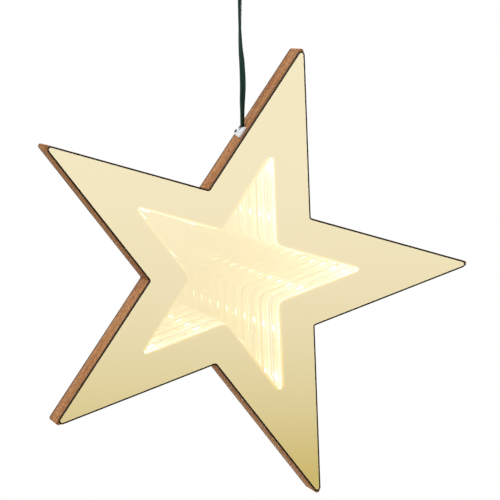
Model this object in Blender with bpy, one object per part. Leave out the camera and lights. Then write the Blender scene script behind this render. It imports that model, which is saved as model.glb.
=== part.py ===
"""Infinity mirror star lamp that hangs on its own low-voltage lead from a ceiling hook.

The star is a wooden frame of ten mitred rails between a gold two-way mirror and a back mirror.
A smaller star-shaped ring inside carries the LED strip between the two mirrors.
Metres, +Z up. The origin is the top of the hook's pad. The star's face looks along -Y.
"""

import math

import bmesh
import bpy
from mathutils import Matrix, Vector

# Star, seen from the front
STAR_RADIUS = 0.1645  # centre to the sharp tip of the face's outline
TOP_ARM_DEG = 74.2  # direction of the top arm, from +X towards +Z
STAR_DROP = 0.3138  # ceiling to the star's centre
LEAD_INSET = 0.0179  # front of the face to the lead's plane, Y = 0
GAP = 0.0003  # clearance between touching pieces

# Face plate and its tape
FACE_THICKNESS = 0.003
FACE_BEVEL = 0.001
FACE_TIP_ROUND = 0.0026
FACE_NOTCH_ROUND = 0.0012
TAPE_THICKNESS = 0.0006
TAPE_WIDTH = 0.004
TAPE_INSET = 0.001

# Wooden frame
RAIL_THICKNESS = 0.006
RAIL_DEPTH = 0.0275
RAIL_TIP_ROUND = 0.0018
BACK_THICKNESS = 0.003
TIP_BLOCK_LENGTH = 0.030
TIP_BLOCK_NOSE = 0.004
TIP_BLOCK_DEPTH = 0.024
BRACE_ARM = 0.013
BRACE_DEPTH = 0.024

# Lit cavity
FACE_BORDER = 0.024  # the face's edge to the cavity's wall
WINDOW_TIP_ROUND = 0.0012
WINDOW_NOTCH_ROUND = 0.007
RING_WALL = 0.004
RING_REBATE = 0.001  # the wall steps back by this near the back mirror
RING_REBATE_DEPTH = 0.005

# LED strip and its wiring
STRIP_WIDTH = 0.010
STRIP_THICKNESS = 0.0006
STRIP_CENTRE = 0.0136  # behind the face's reflecting side
CHIP_SIZE = 0.005
CHIP_HEIGHT = 0.0014
CHIP_PITCH = 0.0333
FIRST_CHIP = 0.019  # from the cavity's inner corner
LAST_CHIP = 0.0095  # least distance to the cavity's tip
RESISTOR_LENGTH = 0.002
RESISTOR_WIDTH = 0.0012
RESISTOR_HEIGHT = 0.0006
RESISTOR_SHARE = 0.25  # from one chip to the next
SLIT_SHARE = 0.5
WIRE_DIAMETER = 0.0011
WIRE_SPACING = 0.0019
TERMINAL_LENGTH = 0.011
TERMINAL_WIDTH = 0.009
TERMINAL_DEPTH = 0.010
TERMINAL_SCREW_RADIUS = 0.0016
TERMINAL_SCREW_HEIGHT = 0.002

# Back mirror's screws
SCREW_SHANK_RADIUS = 0.00125
SCREW_HEAD_RADIUS = 0.0028
SCREW_HEAD_HEIGHT = 0.0016
SCREW_LENGTH = 0.014
BLOCK_SCREW_SHARE = 0.62  # along the tip block from its nose
BRACE_SCREW_SHARE = 0.5  # across the brace

# Lead and its entry in the top arm's left rail
LEAD_DIAMETER = 0.0041
LEAD_HOLE_RADIUS = 0.0026
ENTRY_ALONG = 0.0482  # from the frame's inner corner along the rail
ANCHOR_THICKNESS = 0.0015
ANCHOR_BASE = 0.0088
ANCHOR_NOSE = 0.0034
ANCHOR_ROUND = 0.0008
ANCHOR_CENTRE = -0.0026  # along the rail from the lead
ANCHOR_MARGIN = 0.0012  # to the rail's front and back edges
ANCHOR_SCREW_RADIUS = 0.0006
ANCHOR_SCREW_HEAD = 0.0011
ANCHOR_SCREW_LENGTH = 0.005
ANCHOR_SCREW_SHARE = 0.80  # from the plate's base to its nose
TIE_RADIUS = 0.0036
TIE_WIDTH = 0.0025
DROP_END = 0.0042  # how far the free lead reaches into the rail's hole
LEAD_END_SHARE = 0.7  # height of the lead's end on the terminal block

# Hook
PAD_RADIUS = 0.016
PAD_THICKNESS = 0.001
BASE_RADIUS = 0.017
BASE_HEIGHT = 0.008
BASE_EDGE = 0.002
NUT_ACROSS_FLATS = 0.007
NUT_HEIGHT = 0.003
NUT_RECESS_RADIUS = 0.0045
NUT_RECESS_DEPTH = 0.0042
HOOK_WIRE = 0.0035
HOOK_DEPTH = 0.034  # ceiling to the axis of the hook's level stretch
HOOK_REACH = 0.0095
HOOK_SHANK = 0.0155
HOOK_SHOULDER = 0.0215
HOOK_TIP = 0.0235
HOOK_TOP_ROUND = 0.0035
HOOK_SHOULDER_ROUND = 0.004
HOOK_BEND = 0.0055
SLEEVE_RADIUS = 0.0029
SLEEVE_LENGTH = 0.007

# Loop of the lead over the hook, and the connector on its end
LOOP_HEIGHT = 0.030
FERRULE_HEIGHT = 0.010
FERRULE_WALL = 0.0012
STRAND_OFFSET = 0.00225
RELIEF_LENGTH = 0.009
RELIEF_TOP_WALL = 0.0008
RELIEF_FOOT_WALL = 0.0017
CONNECTOR_RADIUS = 0.0046
CONNECTOR_LENGTH = 0.0135
COLLAR_RADIUS = 0.0053
COLLAR_HEIGHT = 0.0012
COLLAR_DROP = 0.0062
PIN_RADIUS = 0.0008
PIN_LENGTH = 0.005
PIN_OFFSET = 0.0018
CAP_RADIUS = 0.0068
CAP_WALL = 0.0012
CAP_LENGTH = 0.0125
CAP_RIB = 0.0004
CAP_RIBS = 12

SIN_18 = math.sin(math.radians(18))
NOTCH_SHARE = math.sin(math.radians(18)) / math.cos(math.radians(36))
SIDE_SHARE = math.tan(math.radians(36))
WINDOW_RADIUS = STAR_RADIUS - FACE_BORDER / SIN_18  # centre to the cavity's sharp tip
HALF_ARM = math.radians(18)
ARM_STEP = math.radians(36)
NOTCH_SPREAD = math.radians(54)
CORNER_STEPS = 5
ROUND_STEPS = 24
CUT_OVERRUN = 0.002

# Depths behind the front of the face, and the same as world Y
FACE_BACK = FACE_THICKNESS
TAPE_FRONT = FACE_BACK + GAP
RAIL_FRONT = TAPE_FRONT + TAPE_THICKNESS + GAP
RAIL_BACK = RAIL_FRONT + RAIL_DEPTH
MIRROR_FRONT = RAIL_BACK + GAP
MIRROR_BACK = MIRROR_FRONT + BACK_THICKNESS
RING_FRONT = FACE_BACK + GAP
STRIP_Y = FACE_BACK + STRIP_CENTRE
STAR_CENTRE = Vector((0.0, 0.0, -STAR_DROP))

# Heights of the lead's loop and its ferrule
LOOP_TOP = -HOOK_DEPTH + SLEEVE_RADIUS + GAP + LEAD_DIAMETER / 2
FERRULE_TOP = LOOP_TOP - LOOP_HEIGHT
FERRULE_FOOT = FERRULE_TOP - FERRULE_HEIGHT

# Arms counter-clockwise from the top one, each with its two sides in the same order
ARMS = (
    ("top", "left", "right"),
    ("left", "lower", "upper"),
    ("lower_left", "lower", "upper"),
    ("bottom", "right", "left"),
    ("right", "upper", "lower"),
)

# The free lead's sway to the right, at shares of the way up from the rail to the ferrule
DROP_ROUTE = (
    (0.06, 0.0001),
    (0.14, 0.0004),
    (0.21, 0.0009),
    (0.31, 0.0006),
    (0.38, -0.0001),
    (0.47, -0.0004),
    (0.61, -0.0001),
    (0.80, 0.0001),
)
# Half of the loop from its top down, sideways and downwards, as shares of its height
LOOP_SHARES = (
    (0.157, 0.023),
    (0.277, 0.118),
    (0.327, 0.298),
    (0.307, 0.465),
    (0.220, 0.648),
    (0.117, 0.832),
)
# The loose end from the foot of the ferrule down to the connector
TAIL_ROUTE = (
    (-0.0009, -0.0050),
    (-0.0036, -0.0105),
    (-0.0074, -0.0155),
    (-0.0100, -0.0200),
    (-0.0110, -0.0245),
    (-0.0111, -0.0293),
    (-0.0111, -0.0340),
)


def clear_scene():
    """Removes what the file holds, so that the script can be run again."""
    for obj in list(bpy.data.objects):
        bpy.data.objects.remove(obj, do_unlink=True)


def finish(obj, colour, roughness, metallic=0.0):
    """Gives an object its own Principled material."""
    material = bpy.data.materials.new(obj.name)
    material.use_nodes = True
    shader = material.node_tree.nodes["Principled BSDF"]
    shader.inputs["Base Color"].default_value = (*colour, 1.0)
    shader.inputs["Roughness"].default_value = roughness
    shader.inputs["Metallic"].default_value = metallic
    material.diffuse_color = (*colour, 1.0)
    obj.data.materials.clear()
    obj.data.materials.append(material)
    return obj


def mesh_object(name, shape):
    """Turns a bmesh into a named object with its faces pointing out."""
    bmesh.ops.recalc_face_normals(shape, faces=shape.faces)
    mesh = bpy.data.meshes.new(name)
    shape.to_mesh(mesh)
    shape.free()
    obj = bpy.data.objects.new(name, mesh)
    bpy.context.collection.objects.link(obj)
    return obj


def smooth(obj, angle_deg=35):
    """Shades the round faces smooth and keeps the edges sharp."""
    obj.data.shade_smooth()
    obj.data.set_sharp_from_angle(angle=math.radians(angle_deg))
    return obj


def on_axis(name, position, make):
    """Makes some pieces and hangs them on an empty that stands on their joint's axis."""
    before = set(bpy.data.objects)
    make()
    made = [obj for obj in bpy.data.objects if obj not in before and obj.parent is None]
    empty = bpy.data.objects.new(name, None)
    empty.location = position
    empty.empty_display_size = SLEEVE_LENGTH
    bpy.context.collection.objects.link(empty)
    for obj in made:
        obj.parent = empty
        obj.matrix_parent_inverse = Matrix.Translation(-empty.location)


def loft(shape, loops, caps=True):
    """Joins equal rings of points into one skin. Without caps the last ring joins the first."""
    rings = [[shape.verts.new(point) for point in loop] for loop in loops]
    pairs = list(zip(rings, rings[1:]))
    if caps:
        shape.faces.new(rings[0])
        shape.faces.new(rings[-1])
    else:
        pairs.append((rings[-1], rings[0]))
    for one, other in pairs:
        for i in range(len(one)):
            j = (i + 1) % len(one)
            shape.faces.new((one[i], one[j], other[j], other[i]))


def rounded(points, radii, steps=CORNER_STEPS, closed=True):
    """The outline with an arc in place of each corner."""
    result = []
    for i, point in enumerate(points):
        if not closed and i in (0, len(points) - 1):
            result.append(point)
            continue
        before = (points[i - 1] - point).normalized()
        after = (points[(i + 1) % len(points)] - point).normalized()
        half = before.angle(after) / 2
        centre = point + (before + after).normalized() * (radii[i] / math.sin(half))
        start = point + before * (radii[i] / math.tan(half)) - centre
        end = point + after * (radii[i] / math.tan(half)) - centre
        turn = start.angle_signed(end)
        for step in range(steps + 1):
            result.append(centre + turned_by(start, -turn * step / steps))
    return result


def turned_by(vector, angle):
    """A flat vector turned counter-clockwise."""
    cos, sin = math.cos(angle), math.sin(angle)
    return Vector((vector.x * cos - vector.y * sin, vector.x * sin + vector.y * cos))


def direction(angle):
    """The unit vector at an angle in the star's plane."""
    return Vector((math.cos(angle), math.sin(angle)))


def corner_direction(index):
    """The direction of corner 0 to 9: even ones are tips, odd ones are inner corners."""
    return direction(math.radians(TOP_ARM_DEG) + ARM_STEP * index)


def star_corners(radius):
    """The ten sharp corners of a star, counter-clockwise from the top tip."""
    return [
        corner_direction(i) * (radius * (NOTCH_SHARE if i % 2 else 1.0)) for i in range(10)
    ]


def star_outline(radius, tip_round, notch_round, inset=0.0):
    """A star with rounded corners, drawn in by an inset that keeps its sides parallel."""
    corners = star_corners(radius - inset / SIN_18)
    radii = [notch_round + inset if i % 2 else tip_round - inset for i in range(10)]
    return rounded(corners, radii)


def place(point, depth):
    """World position of a point in the star's plane at a depth behind the face."""
    return STAR_CENTRE + Vector((point.x, depth - LEAD_INSET, point.y))


def layer(points, depth):
    return [place(point, depth) for point in points]


def plate(name, outline, front, back):
    """A flat plate between two depths."""
    shape = bmesh.new()
    loft(shape, [layer(outline, front), layer(outline, back)])
    return mesh_object(name, shape)


def ring_plate(name, outer, inner, front, back):
    """A flat ring between two outlines of equal length."""
    shape = bmesh.new()
    loft(
        shape,
        [layer(outer, front), layer(outer, back), layer(inner, back), layer(inner, front)],
        caps=False,
    )
    return mesh_object(name, shape)


def clipped(points, normal, limit):
    """The part of an outline where the distance along the normal is at least the limit."""
    kept = []
    for i, point in enumerate(points):
        other = points[(i + 1) % len(points)]
        here, there = point.dot(normal) - limit, other.dot(normal) - limit
        if here >= 0:
            kept.append(point)
        if (here >= 0) != (there >= 0):
            kept.append(point.lerp(other, here / (here - there)))
    return kept


def turned(shape, profile, base, axis, steps=ROUND_STEPS, closed=False):
    """Spins a profile of (radius, height) pairs about an axis. A radius of zero closes to a point."""
    axis = Vector(axis).normalized()
    side = axis.orthogonal().normalized()
    across = axis.cross(side)
    rings = []
    for radius, height in profile:
        centre = base + axis * height
        if radius == 0:
            rings.append([shape.verts.new(centre)])
            continue
        ring = []
        for step in range(steps):
            angle = 2 * math.pi * step / steps
            spoke = side * math.cos(angle) + across * math.sin(angle)
            ring.append(shape.verts.new(centre + spoke * radius))
        rings.append(ring)
    pairs = list(zip(rings, rings[1:]))
    if closed:
        pairs.append((rings[-1], rings[0]))
    for one, other in pairs:
        for i in range(steps):
            j = (i + 1) % steps
            corners = [one[i % len(one)], one[j % len(one)]]
            corners += [other[j % len(other)], other[i % len(other)]]
            shape.faces.new(list(dict.fromkeys(corners)))


def turned_object(name, profile, base, axis, closed=False):
    shape = bmesh.new()
    turned(shape, profile, base, axis, closed=closed)
    return smooth(mesh_object(name, shape))


def box(shape, centre, axes, sizes):
    """A box with its edges along three unit vectors."""
    corners = []
    for along in (-1, 1):
        ring = []
        for one, two in ((-1, -1), (1, -1), (1, 1), (-1, 1)):
            offset = axes[0] * (one * sizes[0]) + axes[1] * (two * sizes[1])
            ring.append(centre + (offset + axes[2] * (along * sizes[2])) / 2)
        corners.append(ring)
    loft(shape, corners)


def cut(obj, cutter):
    """Takes the cutter's shape out of an object."""
    cutter.hide_render = True
    cutter.display_type = "WIRE"
    modifier = obj.modifiers.new(cutter.name, "BOOLEAN")
    modifier.operation = "DIFFERENCE"
    modifier.solver = "EXACT"
    modifier.object = cutter


def smooth_route(route, spacing):
    """Evenly spaced points on a smooth curve through the route's own points."""
    points = [Vector(point) for point in route]
    ends = [2 * points[0] - points[1], *points, 2 * points[-1] - points[-2]]
    fine = []
    for a, b, c, d in zip(ends, ends[1:], ends[2:], ends[3:]):
        for step in range(ROUND_STEPS):
            t = step / ROUND_STEPS
            bend = (2 * a - 5 * b + 4 * c - d) * t**2 + (3 * b - a - 3 * c + d) * t**3
            fine.append((2 * b + (c - a) * t + bend) / 2)
    fine.append(points[-1])
    lengths = [0.0]
    for one, other in zip(fine, fine[1:]):
        lengths.append(lengths[-1] + (other - one).length)
    count = max(2, round(lengths[-1] / spacing))
    result = []
    index = 0
    for step in range(count + 1):
        target = lengths[-1] * step / count
        while index < len(fine) - 2 and lengths[index + 1] < target:
            index += 1
        span = lengths[index + 1] - lengths[index]
        result.append(fine[index].lerp(fine[index + 1], (target - lengths[index]) / span))
    return result


def tube(name, points, diameter, resolution):
    """A round bar or cord along a line of points."""
    curve = bpy.data.curves.new(name, "CURVE")
    curve.dimensions = "3D"
    curve.bevel_depth = diameter / 2
    curve.bevel_resolution = resolution
    curve.use_fill_caps = True
    spline = curve.splines.new("POLY")
    spline.points.add(len(points) - 1)
    for target, point in zip(spline.points, points):
        target.co = (*point, 1.0)
    obj = bpy.data.objects.new(name, curve)
    bpy.context.collection.objects.link(obj)
    return obj


class Rail:
    """One side of the frame: where it runs, and points measured from its inner corner."""

    def __init__(self, tip, side):
        self.tip = corner_direction(tip)
        self.notch = corner_direction(tip + side)
        self.corner = self.notch * (STAR_RADIUS * NOTCH_SHARE)
        self.along = (self.tip * STAR_RADIUS - self.corner).normalized()
        self.outwards = turned_by(self.along, side * math.pi / 2)

    def at(self, along, inwards):
        return self.corner + self.along * along - self.outwards * inwards


TOP_LEFT = Rail(0, 1)
ENTRY = TOP_LEFT.at(ENTRY_ALONG, 0.0)
RAIL_SLOPE = math.atan2(TOP_LEFT.along.y, TOP_LEFT.along.x)
# The cavity's own side that runs along the top left rail
CAVITY_CORNER = -(STAR_RADIUS - WINDOW_RADIUS) * NOTCH_SHARE * math.cos(NOTCH_SPREAD)
SLIT_ALONG = CAVITY_CORNER + FIRST_CHIP + CHIP_PITCH * SLIT_SHARE
CHIP_RUN = WINDOW_RADIUS * SIDE_SHARE - FIRST_CHIP - LAST_CHIP
CHIPS_PER_EDGE = 1 + int(CHIP_RUN / CHIP_PITCH)
WIRE_HOLE_RADIUS = (WIRE_SPACING + WIRE_DIAMETER) / 2 + GAP
SLIT_HALF = WIRE_HOLE_RADIUS


def face_plate():
    """Two-way mirror with a bevelled front edge."""
    outline = star_outline(STAR_RADIUS, FACE_TIP_ROUND, FACE_NOTCH_ROUND)
    inset = star_outline(STAR_RADIUS, FACE_TIP_ROUND, FACE_NOTCH_ROUND, FACE_BEVEL)
    shape = bmesh.new()
    loft(shape, [layer(inset, 0.0), layer(outline, FACE_BEVEL), layer(outline, FACE_BACK)])
    finish(mesh_object("front_mirror", shape), (0.86, 0.80, 0.55), 0.04, 1.0)


def tape_ring():
    """Dark foam tape that holds the face to the rails."""
    outer = star_outline(STAR_RADIUS, FACE_TIP_ROUND, FACE_NOTCH_ROUND, TAPE_INSET)
    inner = star_outline(
        STAR_RADIUS - (TAPE_INSET + TAPE_WIDTH) / SIN_18,
        FACE_TIP_ROUND,
        FACE_NOTCH_ROUND,
    )
    ring = ring_plate("front_tape", outer, inner, TAPE_FRONT, TAPE_FRONT + TAPE_THICKNESS)
    finish(ring, (0.03, 0.03, 0.03), 0.9)


def rail_outline(tip, side):
    """A rail seen from the front: mitred at its inner corner and rounded where it meets its twin."""
    rail = Rail(tip, side)
    centre = rail.tip * (STAR_RADIUS - RAIL_TIP_ROUND / SIN_18)
    turn = math.pi / 2 - HALF_ARM
    points = [
        centre + turned_by(rail.tip, side * turn * step / CORNER_STEPS) * RAIL_TIP_ROUND
        for step in range(CORNER_STEPS + 1)
    ]
    inner = STAR_RADIUS - RAIL_THICKNESS / SIN_18
    points += [rail.corner, rail.notch * (inner * NOTCH_SHARE), rail.tip * inner]
    points = clipped(points, turned_by(rail.tip, side * math.pi / 2), GAP / 2)
    return clipped(points, turned_by(rail.notch, -side * math.pi / 2), GAP / 2)


def rails(lead_cutter, screw_cutter):
    """Ten mitred rails, two to an arm."""
    for arm, (name, first, second) in enumerate(ARMS):
        for side, word in ((1, first), (-1, second)):
            rail = plate(
                f"{name}_arm_{word}_rail", rail_outline(2 * arm, side), RAIL_FRONT, RAIL_BACK
            )
            if (arm, side) == (0, 1):
                cut(rail, lead_cutter)
                cut(rail, screw_cutter)
            finish(rail, (0.50, 0.20, 0.075), 0.75)


def block_apex():
    return STAR_RADIUS - (RAIL_THICKNESS + GAP) / SIN_18


def tip_blocks(screw_cutter):
    """Wedges glued between the rails of each arm. They take the back mirror's outer screws."""
    for arm, (name, _, _) in enumerate(ARMS):
        axis = corner_direction(2 * arm)
        across = turned_by(axis, math.pi / 2)
        points = []
        for along, sides in ((TIP_BLOCK_NOSE, (-1, 1)), (TIP_BLOCK_LENGTH, (1, -1))):
            for side in sides:
                half_width = along * math.tan(HALF_ARM)
                points.append(axis * (block_apex() - along) + across * (side * half_width))
        block = plate(f"{name}_arm_tip_block", points, RAIL_BACK - TIP_BLOCK_DEPTH, RAIL_BACK)
        cut(block, screw_cutter)
        finish(block, (0.62, 0.42, 0.24), 0.8)


def brace_radii():
    """Distances from the centre to a brace's outer and inner corners."""
    outer = STAR_RADIUS - (RAIL_THICKNESS + GAP) / SIN_18
    inner = WINDOW_RADIUS + (RING_WALL + GAP) / SIN_18
    return outer * NOTCH_SHARE, inner * NOTCH_SHARE


def corner_braces(screw_cutter):
    """Chevron blocks between the frame's inner corners and the light ring."""
    outer, inner = brace_radii()
    nose = WINDOW_NOTCH_ROUND - RING_WALL - GAP
    reach = BRACE_ARM + (outer - inner) * math.cos(NOTCH_SPREAD)
    for arm, (name, side, _) in enumerate(ARMS):
        axis = corner_direction(2 * arm + 1)
        left, right = turned_by(axis, NOTCH_SPREAD), turned_by(axis, -NOTCH_SPREAD)
        tip = rounded(
            [axis * inner + right * reach, axis * inner, axis * inner + left * reach],
            [nose] * 3,
            closed=False,
        )
        points = [axis * outer + left * BRACE_ARM, axis * outer, axis * outer + right * BRACE_ARM]
        brace = plate(
            f"{name}_arm_{side}_brace", tip + points, RAIL_BACK - BRACE_DEPTH, RAIL_BACK
        )
        cut(brace, screw_cutter)
        finish(brace, (0.62, 0.42, 0.24), 0.8)


def screw_places():
    """Centres of the back mirror's ten screws in the star's plane."""
    outer, inner = brace_radii()
    along = TIP_BLOCK_NOSE + (TIP_BLOCK_LENGTH - TIP_BLOCK_NOSE) * BLOCK_SCREW_SHARE
    for arm in range(len(ARMS)):
        yield corner_direction(2 * arm) * (block_apex() - along)
        yield corner_direction(2 * arm + 1) * (inner + (outer - inner) * BRACE_SCREW_SHARE)


def screw_profile(clearance, overrun):
    """A countersunk screw from its head down. The head lies flush."""
    profile = [
        (0.0, -overrun),
        (SCREW_HEAD_RADIUS + clearance, -overrun),
        (SCREW_HEAD_RADIUS + clearance, 0.0),
        (SCREW_SHANK_RADIUS + clearance, SCREW_HEAD_HEIGHT),
        (SCREW_SHANK_RADIUS + clearance, SCREW_LENGTH + clearance),
        (0.0, SCREW_LENGTH + clearance + SCREW_SHANK_RADIUS),
    ]
    return profile if overrun else profile[:1] + profile[2:]


def back_screw_cutter():
    """Cutter for all the holes of the back mirror's screws."""
    shape = bmesh.new()
    for point in screw_places():
        profile = screw_profile(GAP, CUT_OVERRUN)
        turned(shape, profile, place(point, MIRROR_BACK - GAP), (0, -1, 0), steps=12)
    return mesh_object("back_screw_cutter", shape)


def back_screws():
    """Ten countersunk screws through the back mirror, alike but for their places."""
    names = [f"{name}_arm_{word}_screw" for name, _, _ in ARMS for word in ("tip", "brace")]
    shape = bmesh.new()
    turned(shape, screw_profile(0.0, 0.0), Vector(), (0, -1, 0), steps=12)
    for name, point in zip(names, screw_places()):
        screw = mesh_object(name, shape.copy())
        screw.location = place(point, MIRROR_BACK - GAP)
        finish(screw, (0.70, 0.68, 0.62), 0.35, 1.0)
    shape.free()


def back_mirror(screw_cutter):
    """Plain mirror that closes the back, as wide as the rails."""
    mirror = plate(
        "back_mirror",
        star_outline(STAR_RADIUS, RAIL_TIP_ROUND, FACE_NOTCH_ROUND),
        MIRROR_FRONT,
        MIRROR_BACK,
    )
    cut(mirror, screw_cutter)
    finish(mirror, (0.92, 0.92, 0.92), 0.02, 1.0)


def ring_outline(inset):
    """The cavity's outline, drawn outwards by a negative inset."""
    corners = star_corners(WINDOW_RADIUS - inset / SIN_18)
    radii = [WINDOW_NOTCH_ROUND + inset if i % 2 else WINDOW_TIP_ROUND for i in range(10)]
    return rounded(corners, radii)


def light_ring(wire_cutter):
    """White wall round the lit cavity, from mirror to mirror, with a rebate at the back mirror."""
    step = RAIL_BACK - RING_REBATE_DEPTH
    profile = (
        (-RING_WALL, RING_FRONT),
        (-RING_WALL, RAIL_BACK),
        (-RING_REBATE, RAIL_BACK),
        (-RING_REBATE, step),
        (0.0, step),
        (0.0, RING_FRONT),
    )
    shape = bmesh.new()
    loops = [layer(ring_outline(inset), depth) for inset, depth in profile]
    loft(shape, loops, caps=False)
    ring = mesh_object("light_ring", shape)
    cut(ring, wire_cutter)
    finish(ring, (0.93, 0.92, 0.88), 0.5)


def strip_path(inset):
    """Open outline of the strip, from one side of the slit round to the other."""
    points = ring_outline(inset)
    split = CORNER_STEPS + 1
    slit = inset + FACE_BORDER
    ends = [TOP_LEFT.at(SLIT_ALONG + side * SLIT_HALF, slit) for side in (-1, 1)]
    return [ends[0], *points[split:], *points[:split], ends[1]]


def led_strip():
    """Flexible circuit strip bent round the cavity's wall, with the parts soldered on it."""
    outer, inner = strip_path(GAP), strip_path(GAP + STRIP_THICKNESS)
    front, back = STRIP_Y - STRIP_WIDTH / 2, STRIP_Y + STRIP_WIDTH / 2
    shape = bmesh.new()
    loft(
        shape,
        [
            [place(a, front), place(b, front), place(b, back), place(a, back)]
            for a, b in zip(outer, inner)
        ],
    )
    strip = mesh_object("led_strip", shape)
    parts = strip_parts()
    parts.hide_render = True
    parts.display_type = "WIRE"
    modifier = strip.modifiers.new("soldered", "BOOLEAN")
    modifier.operation = "UNION"
    modifier.solver = "EXACT"
    modifier.object = parts
    finish(strip, (1.0, 0.88, 0.55), 0.45)


def cavity_edges():
    """Each side of the cavity: its inner corner, its direction and the way into the cavity."""
    corners = star_corners(WINDOW_RADIUS)
    for arm in range(len(ARMS)):
        for side in (1, -1):
            start = corners[(2 * arm + side) % 10]
            along = (corners[2 * arm] - start).normalized()
            yield start, along, turned_by(along, -side * math.pi / 2)


def on_strip(shape, start, along, inwards, sizes):
    """A block that stands on the strip, rooted in half of its thickness."""
    length, width, height = sizes
    root = STRIP_THICKNESS / 2
    centre = place(start + inwards * (GAP + root + (root + height) / 2), STRIP_Y)
    axes = [Vector((v.x, 0.0, v.y)) for v in (along, inwards)]
    box(shape, centre, (axes[0], Vector((0, 1, 0)), axes[1]), (length, width, root + height))


def strip_parts():
    """Light chips in a row along every side of the cavity, and one resistor a side."""
    shape = bmesh.new()
    for start, along, inwards in cavity_edges():
        for i in range(CHIPS_PER_EDGE):
            middle = start + along * (FIRST_CHIP + i * CHIP_PITCH)
            on_strip(shape, middle, along, inwards, (CHIP_SIZE, CHIP_SIZE, CHIP_HEIGHT))
        middle = start + along * (FIRST_CHIP + CHIP_PITCH * RESISTOR_SHARE)
        sizes = (RESISTOR_LENGTH, RESISTOR_WIDTH, RESISTOR_HEIGHT)
        on_strip(shape, middle, along, inwards, sizes)
    return mesh_object("strip_parts", shape)


def rail_axes():
    """World vectors along the top left rail, backwards and out of its face."""
    along, outwards = TOP_LEFT.along, TOP_LEFT.outwards
    return (
        Vector((along.x, 0.0, along.y)),
        Vector((0.0, 1.0, 0.0)),
        Vector((outwards.x, 0.0, outwards.y)),
    )


def wiring():
    """Terminal block on the ring's outer wall, and two wires through the wall to the strip."""
    along, back, outwards = rail_axes()
    axes = (along, back, outwards)
    seat = terminal_seat()
    shape = bmesh.new()
    middle = place(TOP_LEFT.at(SLIT_ALONG, seat - TERMINAL_WIDTH / 2), STRIP_Y)
    box(shape, middle, axes, (TERMINAL_LENGTH, TERMINAL_DEPTH, TERMINAL_WIDTH))
    finish(mesh_object("terminal_block", shape), (0.85, 0.85, 0.80), 0.5)
    for side, name, colour in (
        (-1, "positive", (0.55, 0.03, 0.03)),
        (1, "negative", (0.03, 0.03, 0.03)),
    ):
        head = middle + along * (side * TERMINAL_LENGTH / 4) + back * (TERMINAL_DEPTH / 2 + GAP)
        profile = [(0.0, 0.0), (TERMINAL_SCREW_RADIUS, 0.0)]
        profile += [(TERMINAL_SCREW_RADIUS, TERMINAL_SCREW_HEIGHT), (0.0, TERMINAL_SCREW_HEIGHT)]
        screw = turned_object(f"{name}_terminal_screw", profile, head, back)
        finish(screw, (0.70, 0.70, 0.68), 0.35, 1.0)
        ends = [
            place(TOP_LEFT.at(SLIT_ALONG + side * WIRE_SPACING / 2, depth), STRIP_Y)
            for depth in (seat + GAP, FACE_BORDER + GAP + STRIP_THICKNESS)
        ]
        wire = tube(f"{name}_wire", smooth_route(ends, 2 * WIRE_DIAMETER), WIRE_DIAMETER, 2)
        finish(wire, colour, 0.5)


def wire_hole():
    """Cutter for the hole in the ring's wall where the two wires pass."""
    _, _, outwards = rail_axes()
    base = place(TOP_LEFT.at(SLIT_ALONG, FACE_BORDER + CUT_OVERRUN), STRIP_Y)
    length = RING_WALL + 2 * CUT_OVERRUN
    profile = [(0.0, 0.0), (WIRE_HOLE_RADIUS, 0.0), (WIRE_HOLE_RADIUS, length), (0.0, length)]
    shape = bmesh.new()
    turned(shape, profile, base, outwards)
    return mesh_object("wire_cutter", shape)


def upright_hole(name, radius):
    """Cutter for an upright round hole on the lead's axis."""
    height = RAIL_THICKNESS / math.cos(RAIL_SLOPE) + 2 * CUT_OVERRUN
    reach = 2 * height
    base = place(ENTRY, LEAD_INSET) - Vector((0, 0, reach))
    profile = [(0.0, 0.0), (radius, 0.0), (radius, 2 * reach), (0.0, 2 * reach)]
    shape = bmesh.new()
    turned(shape, profile, base, (0, 0, 1))
    return mesh_object(name, shape)


def anchor_outline():
    """Tapered plate on the rail's face: (along the rail, depth behind the face)."""
    middle = ENTRY_ALONG + ANCHOR_CENTRE
    front, back = RAIL_FRONT + ANCHOR_MARGIN, RAIL_BACK - ANCHOR_MARGIN
    points = [
        Vector((middle - ANCHOR_BASE / 2, front)),
        Vector((middle + ANCHOR_BASE / 2, front)),
        Vector((middle + ANCHOR_NOSE / 2, back)),
        Vector((middle - ANCHOR_NOSE / 2, back)),
    ]
    return rounded(points, [ANCHOR_ROUND] * len(points)), front, back


def on_rail_face(along, depth, height):
    """A point on the top left rail's outer face, or above it by a height."""
    return place(TOP_LEFT.at(along, -height), depth)


def anchor_screw_base():
    _, front, back = anchor_outline()
    depth = front + (back - front) * ANCHOR_SCREW_SHARE
    return on_rail_face(ENTRY_ALONG + ANCHOR_CENTRE, depth, GAP + ANCHOR_THICKNESS + GAP)


def anchor_screw_profile():
    return [
        (0.0, -GAP),
        (ANCHOR_SCREW_HEAD, -GAP),
        (ANCHOR_SCREW_HEAD, ANCHOR_SCREW_RADIUS / 2 - GAP),
        (ANCHOR_SCREW_RADIUS, ANCHOR_SCREW_RADIUS / 2 - GAP),
        (ANCHOR_SCREW_RADIUS, ANCHOR_SCREW_LENGTH),
        (0.0, ANCHOR_SCREW_LENGTH),
    ]


def anchor_hole():
    """Cutter for the small screw's hole in the anchor plate and the rail."""
    _, _, outwards = rail_axes()
    radius = ANCHOR_SCREW_RADIUS + GAP
    length = ANCHOR_SCREW_LENGTH + GAP
    profile = [(0.0, -GAP / 2), (radius, -GAP / 2), (radius, length), (0.0, length)]
    shape = bmesh.new()
    turned(shape, profile, anchor_screw_base(), -outwards, steps=12)
    return mesh_object("anchor_cutter", shape)


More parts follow.
